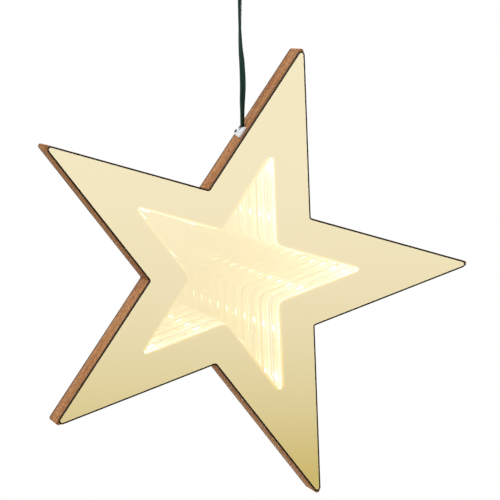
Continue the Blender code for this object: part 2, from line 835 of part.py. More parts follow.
def cable_anchor(lead_cutter, screw_cutter):
    """White plate that steadies the lead where it leaves the rail, and its small screw."""
    outline, _, _ = anchor_outline()
    shape = bmesh.new()
    loft(
        shape,
        [
            [on_rail_face(p.x, p.y, height) for p in outline]
            for height in (GAP, GAP + ANCHOR_THICKNESS)
        ],
    )
    anchor = mesh_object("cable_anchor", shape)
    cut(anchor, lead_cutter)
    cut(anchor, screw_cutter)
    finish(anchor, (0.93, 0.94, 0.95), 0.4)
    _, _, outwards = rail_axes()
    head = turned_object(
        "anchor_screw",
        anchor_screw_profile(),
        anchor_screw_base() + outwards * (ANCHOR_SCREW_RADIUS / 2),
        -outwards,
    )
    finish(head, (0.12, 0.12, 0.13), 0.4, 1.0)


def terminal_seat():
    """Depth of the terminal block's seat inside the frame's outer face."""
    return FACE_BORDER - RING_WALL - GAP


def below_entry(distance):
    """A point on the lead's upright axis below the rail's outer face."""
    return place(ENTRY, LEAD_INSET) - Vector((0, 0, distance))


def lead_inside():
    """The lead's end inside the frame, and the cable tie that stops it being pulled out."""
    tie_top = (RAIL_THICKNESS + GAP) / math.cos(RAIL_SLOPE) + TIE_RADIUS * math.tan(RAIL_SLOPE)
    block_end = SLIT_ALONG + TERMINAL_LENGTH / 2 + GAP
    height = terminal_seat() - TERMINAL_WIDTH * LEAD_END_SHARE
    tie_foot = tie_top + TIE_WIDTH
    route = [below_entry(DROP_END + GAP), below_entry(tie_top), below_entry(tie_foot)]
    route.append(below_entry(tie_foot + LEAD_DIAMETER / 4))
    for step in (LEAD_DIAMETER, 0):
        route.append(place(TOP_LEFT.at(block_end + step, height), LEAD_INSET))
    lead = tube("lead_inner", smooth_route(route, LEAD_DIAMETER), LEAD_DIAMETER, 2)
    finish(lead, (0.012, 0.05, 0.035), 0.4)
    bore = LEAD_DIAMETER / 2 + GAP
    profile = [(bore, 0.0), (TIE_RADIUS, 0.0), (TIE_RADIUS, TIE_WIDTH), (bore, TIE_WIDTH)]
    band = turned_object("strain_tie", profile, below_entry(tie_top), (0, 0, -1), closed=True)
    finish(band, (0.90, 0.90, 0.88), 0.5)


def drop_route():
    """The free lead from inside the rail's hole up to the foot of the ferrule."""
    start, exit_point = below_entry(DROP_END), below_entry(0)
    end = Vector((STRAND_OFFSET, 0.0, FERRULE_FOOT - GAP))
    below = end - Vector((0, 0, 2 * LEAD_DIAMETER))
    swayed = [exit_point.lerp(end, share) + Vector((sway, 0, 0)) for share, sway in DROP_ROUTE]
    return [start, exit_point, *swayed, below, end]


def loop_route():
    """From the ferrule over the hook, back through the ferrule and down to the connector."""
    strand = [
        Vector((STRAND_OFFSET, 0.0, FERRULE_FOOT + FERRULE_HEIGHT * share))
        for share in (0.0, 0.5, 1.0)
    ]
    side = [Vector((x, 0.0, -z)) * LOOP_HEIGHT + Vector((0, 0, LOOP_TOP)) for x, z in LOOP_SHARES]
    right = strand + side[::-1]
    left = [Vector((-point.x, 0.0, point.z)) for point in right[::-1]]
    tail = [left[-1] + Vector((x, 0.0, z)) for x, z in TAIL_ROUTE]
    return [*right, Vector((0.0, 0.0, LOOP_TOP)), *left, *tail]


def lead_outside():
    """The free lead: up to the ferrule, over the hook and down to the connector."""
    for name, route in (("lead_drop", drop_route()), ("lead_loop", loop_route())):
        cord = tube(name, smooth_route(route, 2 * LEAD_DIAMETER), LEAD_DIAMETER, 2)
        finish(cord, (0.012, 0.05, 0.035), 0.4)


def stadium(half_length, radius, steps=8):
    """Two half circles joined by straight sides."""
    points = []
    for side in (1, -1):
        for step in range(steps + 1):
            angle = math.pi * step / steps - math.pi / 2
            spoke = Vector((math.cos(angle), math.sin(angle))) * (side * radius)
            points.append(Vector((side * half_length, 0.0)) + spoke)
    return points


def ferrule():
    """Crimped sleeve that closes the loop."""
    inner = stadium(STRAND_OFFSET, LEAD_DIAMETER / 2 + GAP)
    outer = stadium(STRAND_OFFSET, LEAD_DIAMETER / 2 + GAP + FERRULE_WALL)
    loops = []
    for outline, height in (
        (outer, FERRULE_TOP),
        (outer, FERRULE_FOOT),
        (inner, FERRULE_FOOT),
        (inner, FERRULE_TOP),
    ):
        loops.append([Vector((p.x, p.y, height)) for p in outline])
    shape = bmesh.new()
    loft(shape, loops, caps=False)
    finish(smooth(mesh_object("loop_ferrule", shape)), (0.80, 0.81, 0.82), 0.35, 1.0)


def connector():
    """Two-pin low-voltage connector on the lead's end, with its turning cap."""
    end = loop_route()[-1]
    top = end + Vector((0, 0, RELIEF_LENGTH))
    bore = LEAD_DIAMETER / 2 + GAP
    down = (0, 0, -1)
    relief = [
        (bore, 0.0),
        (bore + RELIEF_TOP_WALL, 0.0),
        (bore + RELIEF_FOOT_WALL, RELIEF_LENGTH),
        (bore, RELIEF_LENGTH),
    ]
    finish(
        turned_object("connector_relief", relief, top, down, closed=True), (0.015, 0.05, 0.035), 0.6
    )
    body_top = end - Vector((0, 0, GAP))
    body = [
        (0.0, 0.0),
        (CONNECTOR_RADIUS, 0.0),
        (CONNECTOR_RADIUS, COLLAR_DROP),
        (COLLAR_RADIUS, COLLAR_DROP),
        (COLLAR_RADIUS, COLLAR_DROP + COLLAR_HEIGHT),
        (CONNECTOR_RADIUS, COLLAR_DROP + COLLAR_HEIGHT),
        (CONNECTOR_RADIUS, CONNECTOR_LENGTH),
        (0.0, CONNECTOR_LENGTH),
    ]
    finish(turned_object("connector_body", body, body_top, down), (0.012, 0.03, 0.022), 0.45)
    for side, word in ((-1, "left"), (1, "right")):
        base = body_top + Vector((side * PIN_OFFSET, 0.0, -CONNECTOR_LENGTH - GAP))
        profile = [(0.0, 0.0), (PIN_RADIUS, 0.0), (PIN_RADIUS, PIN_LENGTH), (0.0, PIN_LENGTH)]
        pin = turned_object(f"{word}_connector_pin", profile, base, down)
        finish(pin, (0.85, 0.70, 0.35), 0.25, 1.0)
    on_axis("connector_axis", body_top, lambda: connector_cap(body_top))


def connector_cap(body_top):
    """Ribbed cap that turns on the connector. Its inner lip sits above the collar."""
    lip = CONNECTOR_RADIUS + GAP
    bore = CAP_RADIUS - CAP_WALL
    start = COLLAR_DROP - GAP - CAP_WALL
    shape = bmesh.new()
    steps = 2 * CAP_RIBS
    loops = []
    for radius, height, ribbed in (
        (lip, start, False),
        (CAP_RADIUS - CAP_RIB, start, False),
        (CAP_RADIUS, start + CAP_RIB, True),
        (CAP_RADIUS, start + CAP_LENGTH - CAP_RIB, True),
        (CAP_RADIUS - CAP_RIB, start + CAP_LENGTH, False),
        (bore, start + CAP_LENGTH, False),
        (bore, start + CAP_WALL, False),
        (lip, start + CAP_WALL, False),
    ):
        loop = []
        for step in range(steps):
            wide = radius - (CAP_RIB if ribbed and step % 2 else 0.0)
            spoke = direction(2 * math.pi * step / steps) * wide
            loop.append(body_top + Vector((spoke.x, spoke.y, -height)))
        loops.append(loop)
    loft(shape, loops, caps=False)
    finish(smooth(mesh_object("connector_cap", shape)), (0.015, 0.035, 0.027), 0.5)


def hook():
    """Stick-on ceiling hook: pad, base, nut and bent wire."""
    up = (0, 0, 1)
    pad = [(0.0, -PAD_THICKNESS), (PAD_RADIUS, -PAD_THICKNESS), (PAD_RADIUS, 0.0), (0.0, 0.0)]
    finish(turned_object("hook_pad", pad, Vector(), up), (0.55, 0.55, 0.55), 0.9)
    top = -PAD_THICKNESS - GAP
    bore = HOOK_WIRE / 2 + GAP
    base = [
        (bore, top - BASE_HEIGHT),
        (BASE_RADIUS - BASE_EDGE, top - BASE_HEIGHT),
        (BASE_RADIUS, top - BASE_HEIGHT + BASE_EDGE),
        (BASE_RADIUS, top),
        (NUT_RECESS_RADIUS, top),
        (NUT_RECESS_RADIUS, top - NUT_RECESS_DEPTH),
        (bore, top - NUT_RECESS_DEPTH),
    ]
    finish(
        turned_object("hook_base", base, Vector(), up, closed=True), (0.90, 0.90, 0.90), 0.35
    )
    nut_foot = top - NUT_RECESS_DEPTH + GAP
    hexagon, circle = [], []
    for step in range(ROUND_STEPS):
        angle = 2 * math.pi * step / ROUND_STEPS
        off_flat = (angle + math.pi / 6) % (math.pi / 3) - math.pi / 6
        hexagon.append(direction(angle) * (NUT_ACROSS_FLATS / 2 / math.cos(off_flat)))
        circle.append(direction(angle) * bore)
    loops = []
    for outline, height in (
        (hexagon, nut_foot),
        (hexagon, nut_foot + NUT_HEIGHT),
        (circle, nut_foot + NUT_HEIGHT),
        (circle, nut_foot),
    ):
        loops.append([Vector((p.x, p.y, height)) for p in outline])
    shape = bmesh.new()
    loft(shape, loops, caps=False)
    finish(mesh_object("hook_nut", shape), (0.75, 0.75, 0.76), 0.35, 1.0)
    bends = [
        Vector((0.0, top - GAP)),
        Vector((0.0, -HOOK_SHANK)),
        Vector((HOOK_REACH, -HOOK_SHOULDER)),
        Vector((HOOK_REACH, -HOOK_DEPTH)),
        Vector((-HOOK_REACH, -HOOK_DEPTH)),
        Vector((-HOOK_REACH, -HOOK_TIP)),
    ]
    radii = [0.0, HOOK_TOP_ROUND, HOOK_SHOULDER_ROUND, HOOK_BEND, HOOK_BEND, 0.0]
    line = [Vector((0.0, p.x, p.y)) for p in rounded(bends, radii, closed=False)]
    finish(tube("hook_wire", line, HOOK_WIRE, 3), (0.80, 0.80, 0.80), 0.25, 1.0)


def hook_sleeve():
    """Short plastic sleeve that rolls on the hook's level stretch and carries the loop."""
    bore = HOOK_WIRE / 2 + GAP
    half = SLEEVE_LENGTH / 2
    profile = [(bore, -half), (SLEEVE_RADIUS, -half), (SLEEVE_RADIUS, half), (bore, half)]
    sleeve = turned_object("hook_sleeve", profile, hook_level(), (0, 1, 0), closed=True)
    finish(sleeve, (0.92, 0.92, 0.90), 0.5)


def hook_level():
    """Middle of the hook's level stretch, on its axis."""
    return Vector((0.0, 0.0, -HOOK_DEPTH))


def hanging_lead():
    """What swings on the sleeve: the free lead, its ferrule and its connector."""
    lead_outside()
    ferrule()
    connector()


def star():
    """The lamp's body and everything fixed in it."""
    lead_cutter = upright_hole("lead_cutter", LEAD_HOLE_RADIUS)
    back_cutter = back_screw_cutter()
    small_cutter = anchor_hole()
    face_plate()
    tape_ring()
    rails(lead_cutter, small_cutter)
    tip_blocks(back_cutter)
    corner_braces(back_cutter)
    back_mirror(back_cutter)
    back_screws()
    light_ring(wire_hole())
    led_strip()
    wiring()
    cable_anchor(upright_hole("lead_notch_cutter", LEAD_DIAMETER / 2 + GAP), small_cutter)
    lead_inside()


def build():
    clear_scene()
    hook()
    on_axis("side_swing_axis", hook_level(), hook_sleeve)
    on_axis("front_swing_axis", Vector((0.0, 0.0, LOOP_TOP)), hanging_lead)
    on_axis("turn_axis", below_entry(0), star)


build()
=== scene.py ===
"""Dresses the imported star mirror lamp: finished pieces, materials, light, floor and camera.

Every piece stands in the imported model's own frame, in metres, with +Z up. The origin is the top
of the ceiling hook's pad, and the star's face looks along -Y.
"""

import logging
import math
from dataclasses import dataclass
from enum import Enum
from typing import Any, Iterable, Iterator, Sequence

import bmesh
import bpy
import numpy as np
from mathutils import Matrix, Vector


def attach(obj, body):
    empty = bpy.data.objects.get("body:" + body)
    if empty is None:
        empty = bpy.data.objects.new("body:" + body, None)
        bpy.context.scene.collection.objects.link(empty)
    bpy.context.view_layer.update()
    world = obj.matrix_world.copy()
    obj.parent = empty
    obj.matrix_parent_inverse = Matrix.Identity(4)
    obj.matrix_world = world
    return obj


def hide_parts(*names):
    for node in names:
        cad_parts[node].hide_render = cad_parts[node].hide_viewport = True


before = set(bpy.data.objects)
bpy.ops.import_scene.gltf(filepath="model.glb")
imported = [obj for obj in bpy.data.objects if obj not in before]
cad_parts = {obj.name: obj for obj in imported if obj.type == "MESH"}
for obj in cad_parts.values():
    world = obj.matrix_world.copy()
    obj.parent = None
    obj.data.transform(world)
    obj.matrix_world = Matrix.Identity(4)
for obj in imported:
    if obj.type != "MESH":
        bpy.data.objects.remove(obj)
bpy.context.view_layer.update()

Tree = bpy.types.NodeTree
Piece = bpy.types.Object
Profile = Sequence[tuple[float, float]]
Places = list[tuple[Vector, Matrix]]

LOG = logging.getLogger("star_lamp")
GAP = 0.0003  # clearance between touching pieces, metres
WALL = 0.004  # thickness of the white wall round the lit cavity
FIRST_CHIP = 0.019  # from a side's inner corner to its first chip
CHIP_PITCH = 0.0333  # from one chip to the next
SIN_18 = math.sin(math.radians(18))
NOTCH_SHARE = SIN_18 / math.cos(math.radians(36))  # inner corners, as a share of a star's radius
FINE_EASE = 0.0001  # rounding of a small turned piece's edges
PIECE_ANGLE = 35.0  # an edge sharper than this many degrees stays sharp
NOISE, RANGE, MATHS = "ShaderNodeTexNoise", "ShaderNodeMapRange", "ShaderNodeMath"


class Body(Enum):
    """The rigid bodies that pieces ride on."""

    HOOK = "hook"
    SLEEVE = "sleeve"
    LEAD = "lead"
    CAP = "cap"
    STAR = "star"


class Direction(Enum):
    """World directions that pieces are turned about."""

    UP = (0.0, 0.0, 1.0)
    DOWN = (0.0, 0.0, -1.0)
    BACK = (0.0, 1.0, 0.0)
    FRONT = (0.0, -1.0, 0.0)
    RIGHT = (1.0, 0.0, 0.0)

    @property
    def vector(self) -> Vector:
        """The direction as a unit vector."""
        return Vector(self.value)


# ---------------------------------------------------------------- colour and nodes


def linear(colour: int) -> tuple[float, ...]:
    """Turns an sRGB hex colour to linear light.

    Args:
        colour: the colour as 0xRRGGBB.

    Returns:
        Red, green, blue and an alpha of 1.
    """
    shares = [(colour >> shift & 255) / 255 for shift in (16, 8, 0)]
    light = [c / 12.92 if c <= 0.04045 else ((c + 0.055) / 1.055) ** 2.4 for c in shares]
    return (*light, 1.0)


def per_metre(millimetres: float) -> float:
    """The texture scale, in repeats to a metre, of a pattern that repeats in so many mm."""
    return 1000.0 / millimetres


def set_inputs(tree: Tree, node: bpy.types.Node, inputs: dict[Any, Any]) -> None:
    """Sets or links a node's inputs.

    Args:
        tree: the tree that the node is in.
        node: the node.
        inputs: what each input gets, by its name or number: a value, an output socket, or a
            node for its first output.
    """
    for key, value in inputs.items():
        if isinstance(value, bpy.types.Node):
            value = value.outputs[0]
        if isinstance(value, bpy.types.NodeSocket):
            tree.links.new(value, node.inputs[key])
        else:
            node.inputs[key].default_value = value


def add_node(
    tree: Tree, kind: str, inputs: dict[Any, Any] | None = None, **settings: Any
) -> bpy.types.Node:
    """Adds a node with its settings, values and links.

    Args:
        tree: the node tree that gets the node.
        kind: Blender's identifier of the node type.
        inputs: what its inputs get, as set_inputs takes it.
        settings: the node's own properties.

    Returns:
        The new node.
    """
    node = tree.nodes.new(kind)
    for name, value in settings.items():
        setattr(node, name, value)
    set_inputs(tree, node, inputs or {})
    return node


def coordinates(
    tree: Tree, attribute: str = "", stretch: Sequence[float] = ()
) -> bpy.types.NodeSocket:
    """Adds the coordinates that a pattern is laid on, in metres.

    Args:
        tree: the material's node tree.
        attribute: a vector attribute of the piece. Without one they are Object coordinates.
        stretch: a scale for each axis. One under 1 draws the pattern out along it.

    Returns:
        The coordinates.
    """
    if attribute:
        place = add_node(tree, "ShaderNodeAttribute", attribute_name=attribute).outputs["Vector"]
    else:
        place = add_node(tree, "ShaderNodeTexCoord").outputs["Object"]
    if stretch:
        place = add_node(tree, "ShaderNodeMapping", {"Vector": place, "Scale": stretch}).outputs[0]
    return place


def span(
    low: float = 0.0, high: float = 1.0, start: float = 0.3, end: float = 0.7
) -> dict[str, float]:
    """The inputs of a Map Range node: start to end of its value becomes low to high."""
    return {"From Min": start, "From Max": end, "To Min": low, "To Max": high}


def tint(
    tree: Tree, share: Any, one: Any, other: Any, limits: dict[str, float] | None = None
) -> bpy.types.NodeSocket:
    """Colours a surface by a pattern.

    Args:
        tree: the node tree.
        share: the pattern. 0 gives the first colour and 1 the second.
        one: the first colour, a hex number or a socket.
        other: the second colour, a hex number or a socket.
        limits: how the pattern's range is spread first, from span.

    Returns:
        The mixed colour.
    """
    if limits:
        share = add_node(tree, RANGE, {"Value": share} | limits)
    ends = [linear(end) if isinstance(end, int) else end for end in (one, other)]
    inputs = {"Factor": share, 6: ends[0], 7: ends[1]}
    return add_node(tree, "ShaderNodeMix", inputs, data_type="RGBA").outputs[2]


# ---------------------------------------------------------------- finishes


@dataclass(frozen=True)
class Finish:
    """A real material and how its surface was made. Each kind adds its own patterns."""

    title: str
    slot: str
    colour: int = 0xFFFFFF
    shade: int | None = None
    relief_mm: float = 0.0
    relief_share: float = 0.5

    def material(self) -> bpy.types.Material:
        """Makes the material once, and hands out the same one after that.

        Returns:
            The finished material.
        """
        made = bpy.data.materials.get(self.title)
        if made is None:
            made = bpy.data.materials.new(self.title)
            made.use_nodes = True
            tree = made.node_tree
            looks = self.looks(tree)
            height = looks.pop("Height", None)
            if height is not None and self.relief_mm:
                distance = self.relief_mm / 1000.0
                raised = {"Height": height, "Distance": distance, "Strength": self.relief_share}
                looks["Normal"] = add_node(tree, "ShaderNodeBump", raised)
            set_inputs(tree, tree.nodes["Principled BSDF"], looks)
        return made

    def looks(self, tree: Tree) -> dict[str, Any]:
        """Adds the patterns that the surface shows.

        Args:
            tree: the material's node tree.

        Returns:
            What the Principled shader's inputs get, and as Height the pattern of the relief.
        """
        raise NotImplementedError


@dataclass(frozen=True)
class Surface(Finish):
    """Two near colours in clouds under a fine skin, which shows in gloss and relief. Without
    clouds the skin's own pattern colours it, and without a second colour it is plain."""

    roughness: float = 0.4
    uneven: tuple[float, ...] = ()  # how much smoother and rougher the skin makes it
    cloud_mm: float = 0.0
    cloud_detail: float = 3.0
    skin_mm: float = 1.0
    skin_detail: float = 2.0
    attribute: str = ""
    stretch: tuple[float, ...] = ()
    metallic: float = 0.0
    ior: float = 1.5
    specular: float = 0.5
    cover: float = 1.0
    glow: int = 0xFFFFFF
    glow_strength: float = 0.0

    def looks(self, tree: Tree) -> dict[str, Any]:
        """Clouds and skin are noise of a real size.

        Args:
            tree: the material's node tree.

        Returns:
            What the shader's inputs get, as Finish says.
        """
        place = coordinates(tree, self.attribute, self.stretch)
        sizes = [(self.skin_mm, self.skin_detail)]
        if self.cloud_mm:
            sizes.append((self.cloud_mm, self.cloud_detail))
        noises = [
            add_node(tree, NOISE, {"Vector": place, "Scale": per_metre(mm), "Detail": detail})
            for mm, detail in sizes
        ]
        colour, roughness = linear(self.colour), self.roughness
        if self.shade is not None:
            colour = tint(tree, noises[-1], self.colour, self.shade, span())
        if self.uneven:
            limits = span(roughness - self.uneven[0], roughness + self.uneven[1])
            roughness = add_node(tree, RANGE, {"Value": noises[0]} | limits)
        return {
            "Base Color": colour,
            "Roughness": roughness,
            "Metallic": self.metallic,
            "IOR": self.ior,
            "Specular IOR Level": self.specular,
            "Alpha": self.cover,
            "Emission Color": linear(self.glow),
            "Emission Strength": self.glow_strength,
            "Height": noises[0],
        }


@dataclass(frozen=True)
class SilverFilm(Surface):
    """Silver film behind clear acrylic: a plain bright mirror with a trace of haze."""

    title: str = "silver mirror film"
    slot: str = "back_mirror"
    colour: int = 0xF0F0EE
    metallic: float = 1.0
    roughness: float = 0.0
    uneven: tuple[float, ...] = (0.0, 0.005)
    skin_mm: float = 30.0  # wiped haze
    skin_detail: float = 3.0


@dataclass(frozen=True)
class ClearAcrylic(Surface):
    """Clear cast acrylic over a mirror's film: a faint gloss that hides nothing behind it."""

    colour: int = 0xF4F6EE
    cover: float = 0.04
    roughness: float = 0.0
    uneven: tuple[float, ...] = (0.0, 0.01)
    ior: float = 1.49
    skin_mm: float = 22.0  # slow waves of a cast sheet


@dataclass(frozen=True)
class CutEdge(Surface):
    """Laser-cut acrylic edge, with cut marks across the sheet, for which the noise is drawn out
    along the depth. By default it is nearly black, and on the face's chamfer it draws a dark line
    round the mirror."""

    title: str = "laser-cut gold acrylic edge"
    slot: str = "gold_mirror"
    colour: int = 0x241A0B
    shade: int | None = 0x120C05
    relief_mm: float = 0.02
    relief_share: float = 0.4
    roughness: float = 0.55
    ior: float = 1.49
    specular: float = 0.15
    skin_mm: float = 0.5  # cut marks, coarser than the real 0.1 mm, so that they show
    stretch: tuple[float, ...] = (1.0, 0.12, 1.0)


@dataclass(frozen=True)
class MirrorPaint(Surface):
    """Grey protective paint on a mirror's back, rolled on: matt, cloudy, with orange peel."""

    title: str = "grey mirror-back paint"
    slot: str = "back_mirror"
    colour: int = 0x8F9293
    shade: int | None = 0x9C9FA0
    relief_mm: float = 0.06
    relief_share: float = 0.6
    roughness: float = 0.55
    cloud_mm: float = 26.0  # uneven coats
    cloud_detail: float = 4.0
    skin_mm: float = 1.6  # orange peel of the roller


@dataclass(frozen=True)
class Plastic(Surface):
    """Injection-moulded plastic: one colour with a faint flow cloud, and a fine moulded skin."""

    relief_mm: float = 0.02
    roughness: float = 0.42
    uneven: tuple[float, ...] = (0.05, 0.07)
    cloud_mm: float = 12.0  # flow clouds
    skin_mm: float = 0.7  # moulded grain, coarser than the real 0.1 mm, so that it shows
    ior: float = 1.53


@dataclass(frozen=True)
class Metal(Surface):
    """Plated or drawn metal: its own colour in plating clouds, with fine working lines."""

    relief_mm: float = 0.006
    roughness: float = 0.3
    uneven: tuple[float, ...] = (0.08, 0.1)
    cloud_mm: float = 2.5  # plating clouds
    skin_mm: float = 0.25  # working lines, coarser than the real 0.05 mm, so that they show
    skin_detail: float = 3.0
    metallic: float = 1.0


@dataclass(frozen=True)
class LeadSkin(Surface):
    """Dark green PVC lead skin, extruded: soft gloss, and faint drag lines along it by the
    lead's own attribute."""

    title: str = "dark green PVC"
    slot: str = "lead_skin"
    colour: int = 0x0A3A30
    shade: int | None = 0x052A22
    relief_mm: float = 0.03
    roughness: float = 0.34
    uneven: tuple[float, ...] = (0.0, 0.14)
    skin_mm: float = 0.45  # drag lines, coarser than the real 0.1 mm, so that they show
    skin_detail: float = 3.0
    attribute: str = "skin"
    stretch: tuple[float, ...] = (0.04, 1.0, 1.0)
    ior: float = 1.53
    specular: float = 0.25


@dataclass(frozen=True)
class StudioFloor(Surface):
    """Pale matt studio floor paint, in two near whites."""

    title: str = "pale studio floor"
    slot: str = ""
    colour: int = 0xF4F4F2
    shade: int | None = 0xF0F0EE
    roughness: float = 0.8
    skin_mm: float = 400.0  # broad clouds of a rolled floor


@dataclass(frozen=True)
class GoldFilm(Finish):
    """Gold two-way mirror: cast acrylic with a thin metal film, which lets bluish light out.
    The eye gets a pale gold mirror with the lit cavity shining out of it. What would come in
    through the film is left out, because the strip's light drowns it."""

    title: str = "gold two-way mirror film"
    slot: str = "gold_mirror"
    colour: int = 0xF5E9C4
    inner_colour: int = 0xF0E8D4
    passed: int = 0xAAB0CB
    stopped: int = 0x000000
    smudge_mm: float = 38.0  # where a cloth wiped it
    haze: float = 0.006

    def looks(self, tree: Tree) -> dict[str, Any]:
        """A clean metal film with a see-through shader added on its outer side.

        Args:
            tree: the material's node tree.

        Returns:
            What the shader's inputs get, as Finish says.
        """
        inner_side = add_node(tree, "ShaderNodeNewGeometry").outputs["Backfacing"]
        through = tint(tree, inner_side, self.passed, self.stopped)
        clear = add_node(tree, "ShaderNodeBsdfTransparent", {"Color": through})
        mirror = tree.nodes["Principled BSDF"]
        both = add_node(tree, "ShaderNodeAddShader", {0: mirror, 1: clear})
        set_inputs(tree, tree.nodes["Material Output"], {"Surface": both})
        wipes = {"Vector": coordinates(tree), "Scale": per_metre(self.smudge_mm), "Detail": 3.0}
        wiped = add_node(tree, NOISE, wipes)
        return {
            "Base Color": tint(tree, inner_side, self.colour, self.inner_colour),
            "Metallic": 1.0,
            "Roughness": add_node(tree, RANGE, {"Value": wiped} | span(0.0, self.haze)),
        }


@dataclass(frozen=True)
class LitWall(Finish):
    """White ABS wall lit by the strip: its glow is painted light, brightest by each chip."""

    title: str = "lit white ABS wall"
    slot: str = "white_wall"
    colour: int = 0xE9E4D6
    relief_mm: float = 0.02
    relief_share: float = 0.3
    glow: int = 0xFFFAEE
    low: float = 0.3
    high: float = 0.58
    reach: float = 0.011  # how far a chip's own light spreads along the wall
    grain_mm: float = 1.2  # moulded grain, coarser than the real 0.1 mm, so that it shows

    def looks(self, tree: Tree) -> dict[str, Any]:
        """The wall attribute begins with the way along a side of the cavity.

        Args:
            tree: the material's node tree.

        Returns:
            What the shader's inputs get, as Finish says.
        """
        along = add_node(tree, "ShaderNodeSeparateXYZ", {0: coordinates(tree, "wall")})
        past = add_node(tree, MATHS, {0: along, 1: FIRST_CHIP}, operation="SUBTRACT")
        near = add_node(tree, MATHS, {0: past, 1: CHIP_PITCH / 2}, operation="PINGPONG")
        fade = span(self.high, self.low, 0.0, self.reach)
        grain = {"Vector": coordinates(tree), "Scale": per_metre(self.grain_mm), "Detail": 2.0}
        return {
            "Base Color": linear(self.colour),
            "Roughness": 0.5,
            "Emission Color": linear(self.glow),
            # painted light: the glow is highest by each chip and fades to a low level between them
            "Emission Strength": add_node(tree, RANGE, {"Value": near} | fade),
            "Height": add_node(tree, NOISE, grain),
        }


@dataclass(frozen=True)
class RimGlow(Finish):
    """Front rim of the white wall, painted light: a glow for the strip's light leaking under the
    mirror, warmer as it fades out, on a base colour darkened to brownish gold as painted shade.
    """

    title: str = "glowing rim of the white wall"
    slot: str = "white_wall"
    colour: int = 0x8A6A30
    hot: int = 0xFFC43C
    warm: int = 0xFF8A14
    strength: float = 0.7
    width: float = 0.0018
    falloff: float = 2.2

    def looks(self, tree: Tree) -> dict[str, Any]:
        """The wall attribute ends with the way out of the cavity, across the rim.

        Args:
            tree: the material's node tree.

        Returns:
            What the shader's inputs get, as Finish says.
        """
        outwards = add_node(tree, "ShaderNodeSeparateXYZ", {0: coordinates(tree, "wall")})
        share = add_node(
            tree, RANGE, {"Value": outwards.outputs["Z"]} | span(start=0.0, end=self.width)
        )
        fade = add_node(tree, MATHS, {0: 1.0, 1: share}, operation="SUBTRACT")
        curve = add_node(tree, MATHS, {0: fade, 1: self.falloff}, operation="POWER")
        return {
            "Base Color": linear(self.colour),
            "Roughness": 0.5,
            "Emission Color": tint(tree, share, self.hot, self.warm),
            "Emission Strength": add_node(
                tree, MATHS, {0: curve, 1: self.strength}, operation="MULTIPLY"
            ),
        }


@dataclass(frozen=True)
class StainedBoard(Finish):
    """Medium-density fibreboard rail, sawn and stained orange-brown: short fibres and fine dark
    specks along the length, in slow bands of the stain."""

    title: str = "stained fibreboard"
    slot: str = "frame_wood"
    colour: int = 0xC0824F
    shade: int | None = 0x6A3D20
    pale: int = 0xD69E6C
    relief_mm: float = 0.05
    relief_share: float = 0.6
    gloss: float = 0.15
    fibre_mm: float = 0.9  # coarser than real fibres of 0.1 mm, so that they show
    band_mm: float = 7.0
    speck_mm: float = 1.1  # coarser than real specks of 0.3 mm, so that they show

    def looks(self, tree: Tree) -> dict[str, Any]:
        """The grain attribute is the way along the rail, across it, and the depth.

        Args:
            tree: the material's node tree.

        Returns:
            What the shader's inputs get, as Finish says.
        """
        grain, drawn = coordinates(tree, "grain"), coordinates(tree, "grain", (0.16, 1.0, 1.0))
        fibres, bands, specks = (
            add_node(tree, NOISE, {"Vector": place, "Scale": per_metre(mm), "Detail": detail})
            for place, mm, detail in (
                (drawn, self.fibre_mm, 4.0),
                (drawn, self.band_mm, 3.0),
                (grain, self.speck_mm, 1.0),
            )
        )
        stain = tint(tree, bands, self.colour, self.pale, span(0.0, 1.0, 0.35, 0.65))
        fibred = tint(tree, fibres, stain, self.shade, span(0.0, 0.45, 0.45, 0.72))
        return {
            "Base Color": tint(tree, specks, fibred, self.shade, span(0.0, 0.85, 0.5, 0.64)),
            "Roughness": add_node(tree, RANGE, {"Value": fibres} | span(0.7, 0.85)),
            "Specular IOR Level": self.gloss,
            "Height": fibres,
        }


@dataclass(frozen=True)
class RawWood(Finish):
    """Planed pine blocks, unfinished: pale growth rings with fine pores along the grain."""

    title: str = "planed pine"
    slot: str = "block_wood"
    colour: int = 0xDDBD8C
    shade: int | None = 0xB98A55
    relief_mm: float = 0.04
    relief_share: float = 0.6
    ring_mm: float = 2.4  # growth rings. The wave texture has 20 of them in one of its repeats
    pore_mm: float = 0.6  # coarser than real pores of 0.05 mm, so that they show

    def looks(self, tree: Tree) -> dict[str, Any]:
        """Rings across the grain attribute, bent by noise, and pores along it.

        Args:
            tree: the material's node tree.

        Returns:
            What the shader's inputs get, as Finish says.
        """
        waves = {
            "Vector": coordinates(tree, "grain"),
            "Scale": per_metre(self.ring_mm) / 20.0,
            "Distortion": 3.0,
            "Detail": 2.0,
        }
        rings = add_node(tree, "ShaderNodeTexWave", waves, bands_direction="Y").outputs["Fac"]
        drawn = coordinates(tree, "grain", (0.1, 1.0, 1.0))
        dots = {"Vector": drawn, "Scale": per_metre(self.pore_mm), "Detail": 3.0}
        pores = add_node(tree, NOISE, dots)
        ringed = tint(tree, rings, self.colour, self.shade)
        return {
            "Base Color": tint(tree, pores, ringed, self.shade, span(0.0, 0.5, 0.5, 0.7)),
            "Roughness": 0.7,
            "Height": pores,
        }


@dataclass(frozen=True)
class Foam(Finish):
    """Closed-cell foam tape: matt, with small round cells in relief, their hollow middles darkened
    as painted shade.
    """

    relief_mm: float = 0.12
    relief_share: float = 0.8
    cell_mm: float = 0.35  # the real cells

    def looks(self, tree: Tree) -> dict[str, Any]:
        """The cells' middles, where the relief is lowest, are darker: painted shade.

        Args:
            tree: the material's node tree.

        Returns:
            What the shader's inputs get, as Finish says.
        """
        inputs = {"Vector": coordinates(tree), "Scale": per_metre(self.cell_mm)}
        cells = add_node(tree, "ShaderNodeTexVoronoi", inputs)
        colour = tint(tree, cells, self.shade, self.colour, span())
        return {"Base Color": colour, "Roughness": 0.9, "Height": cells}


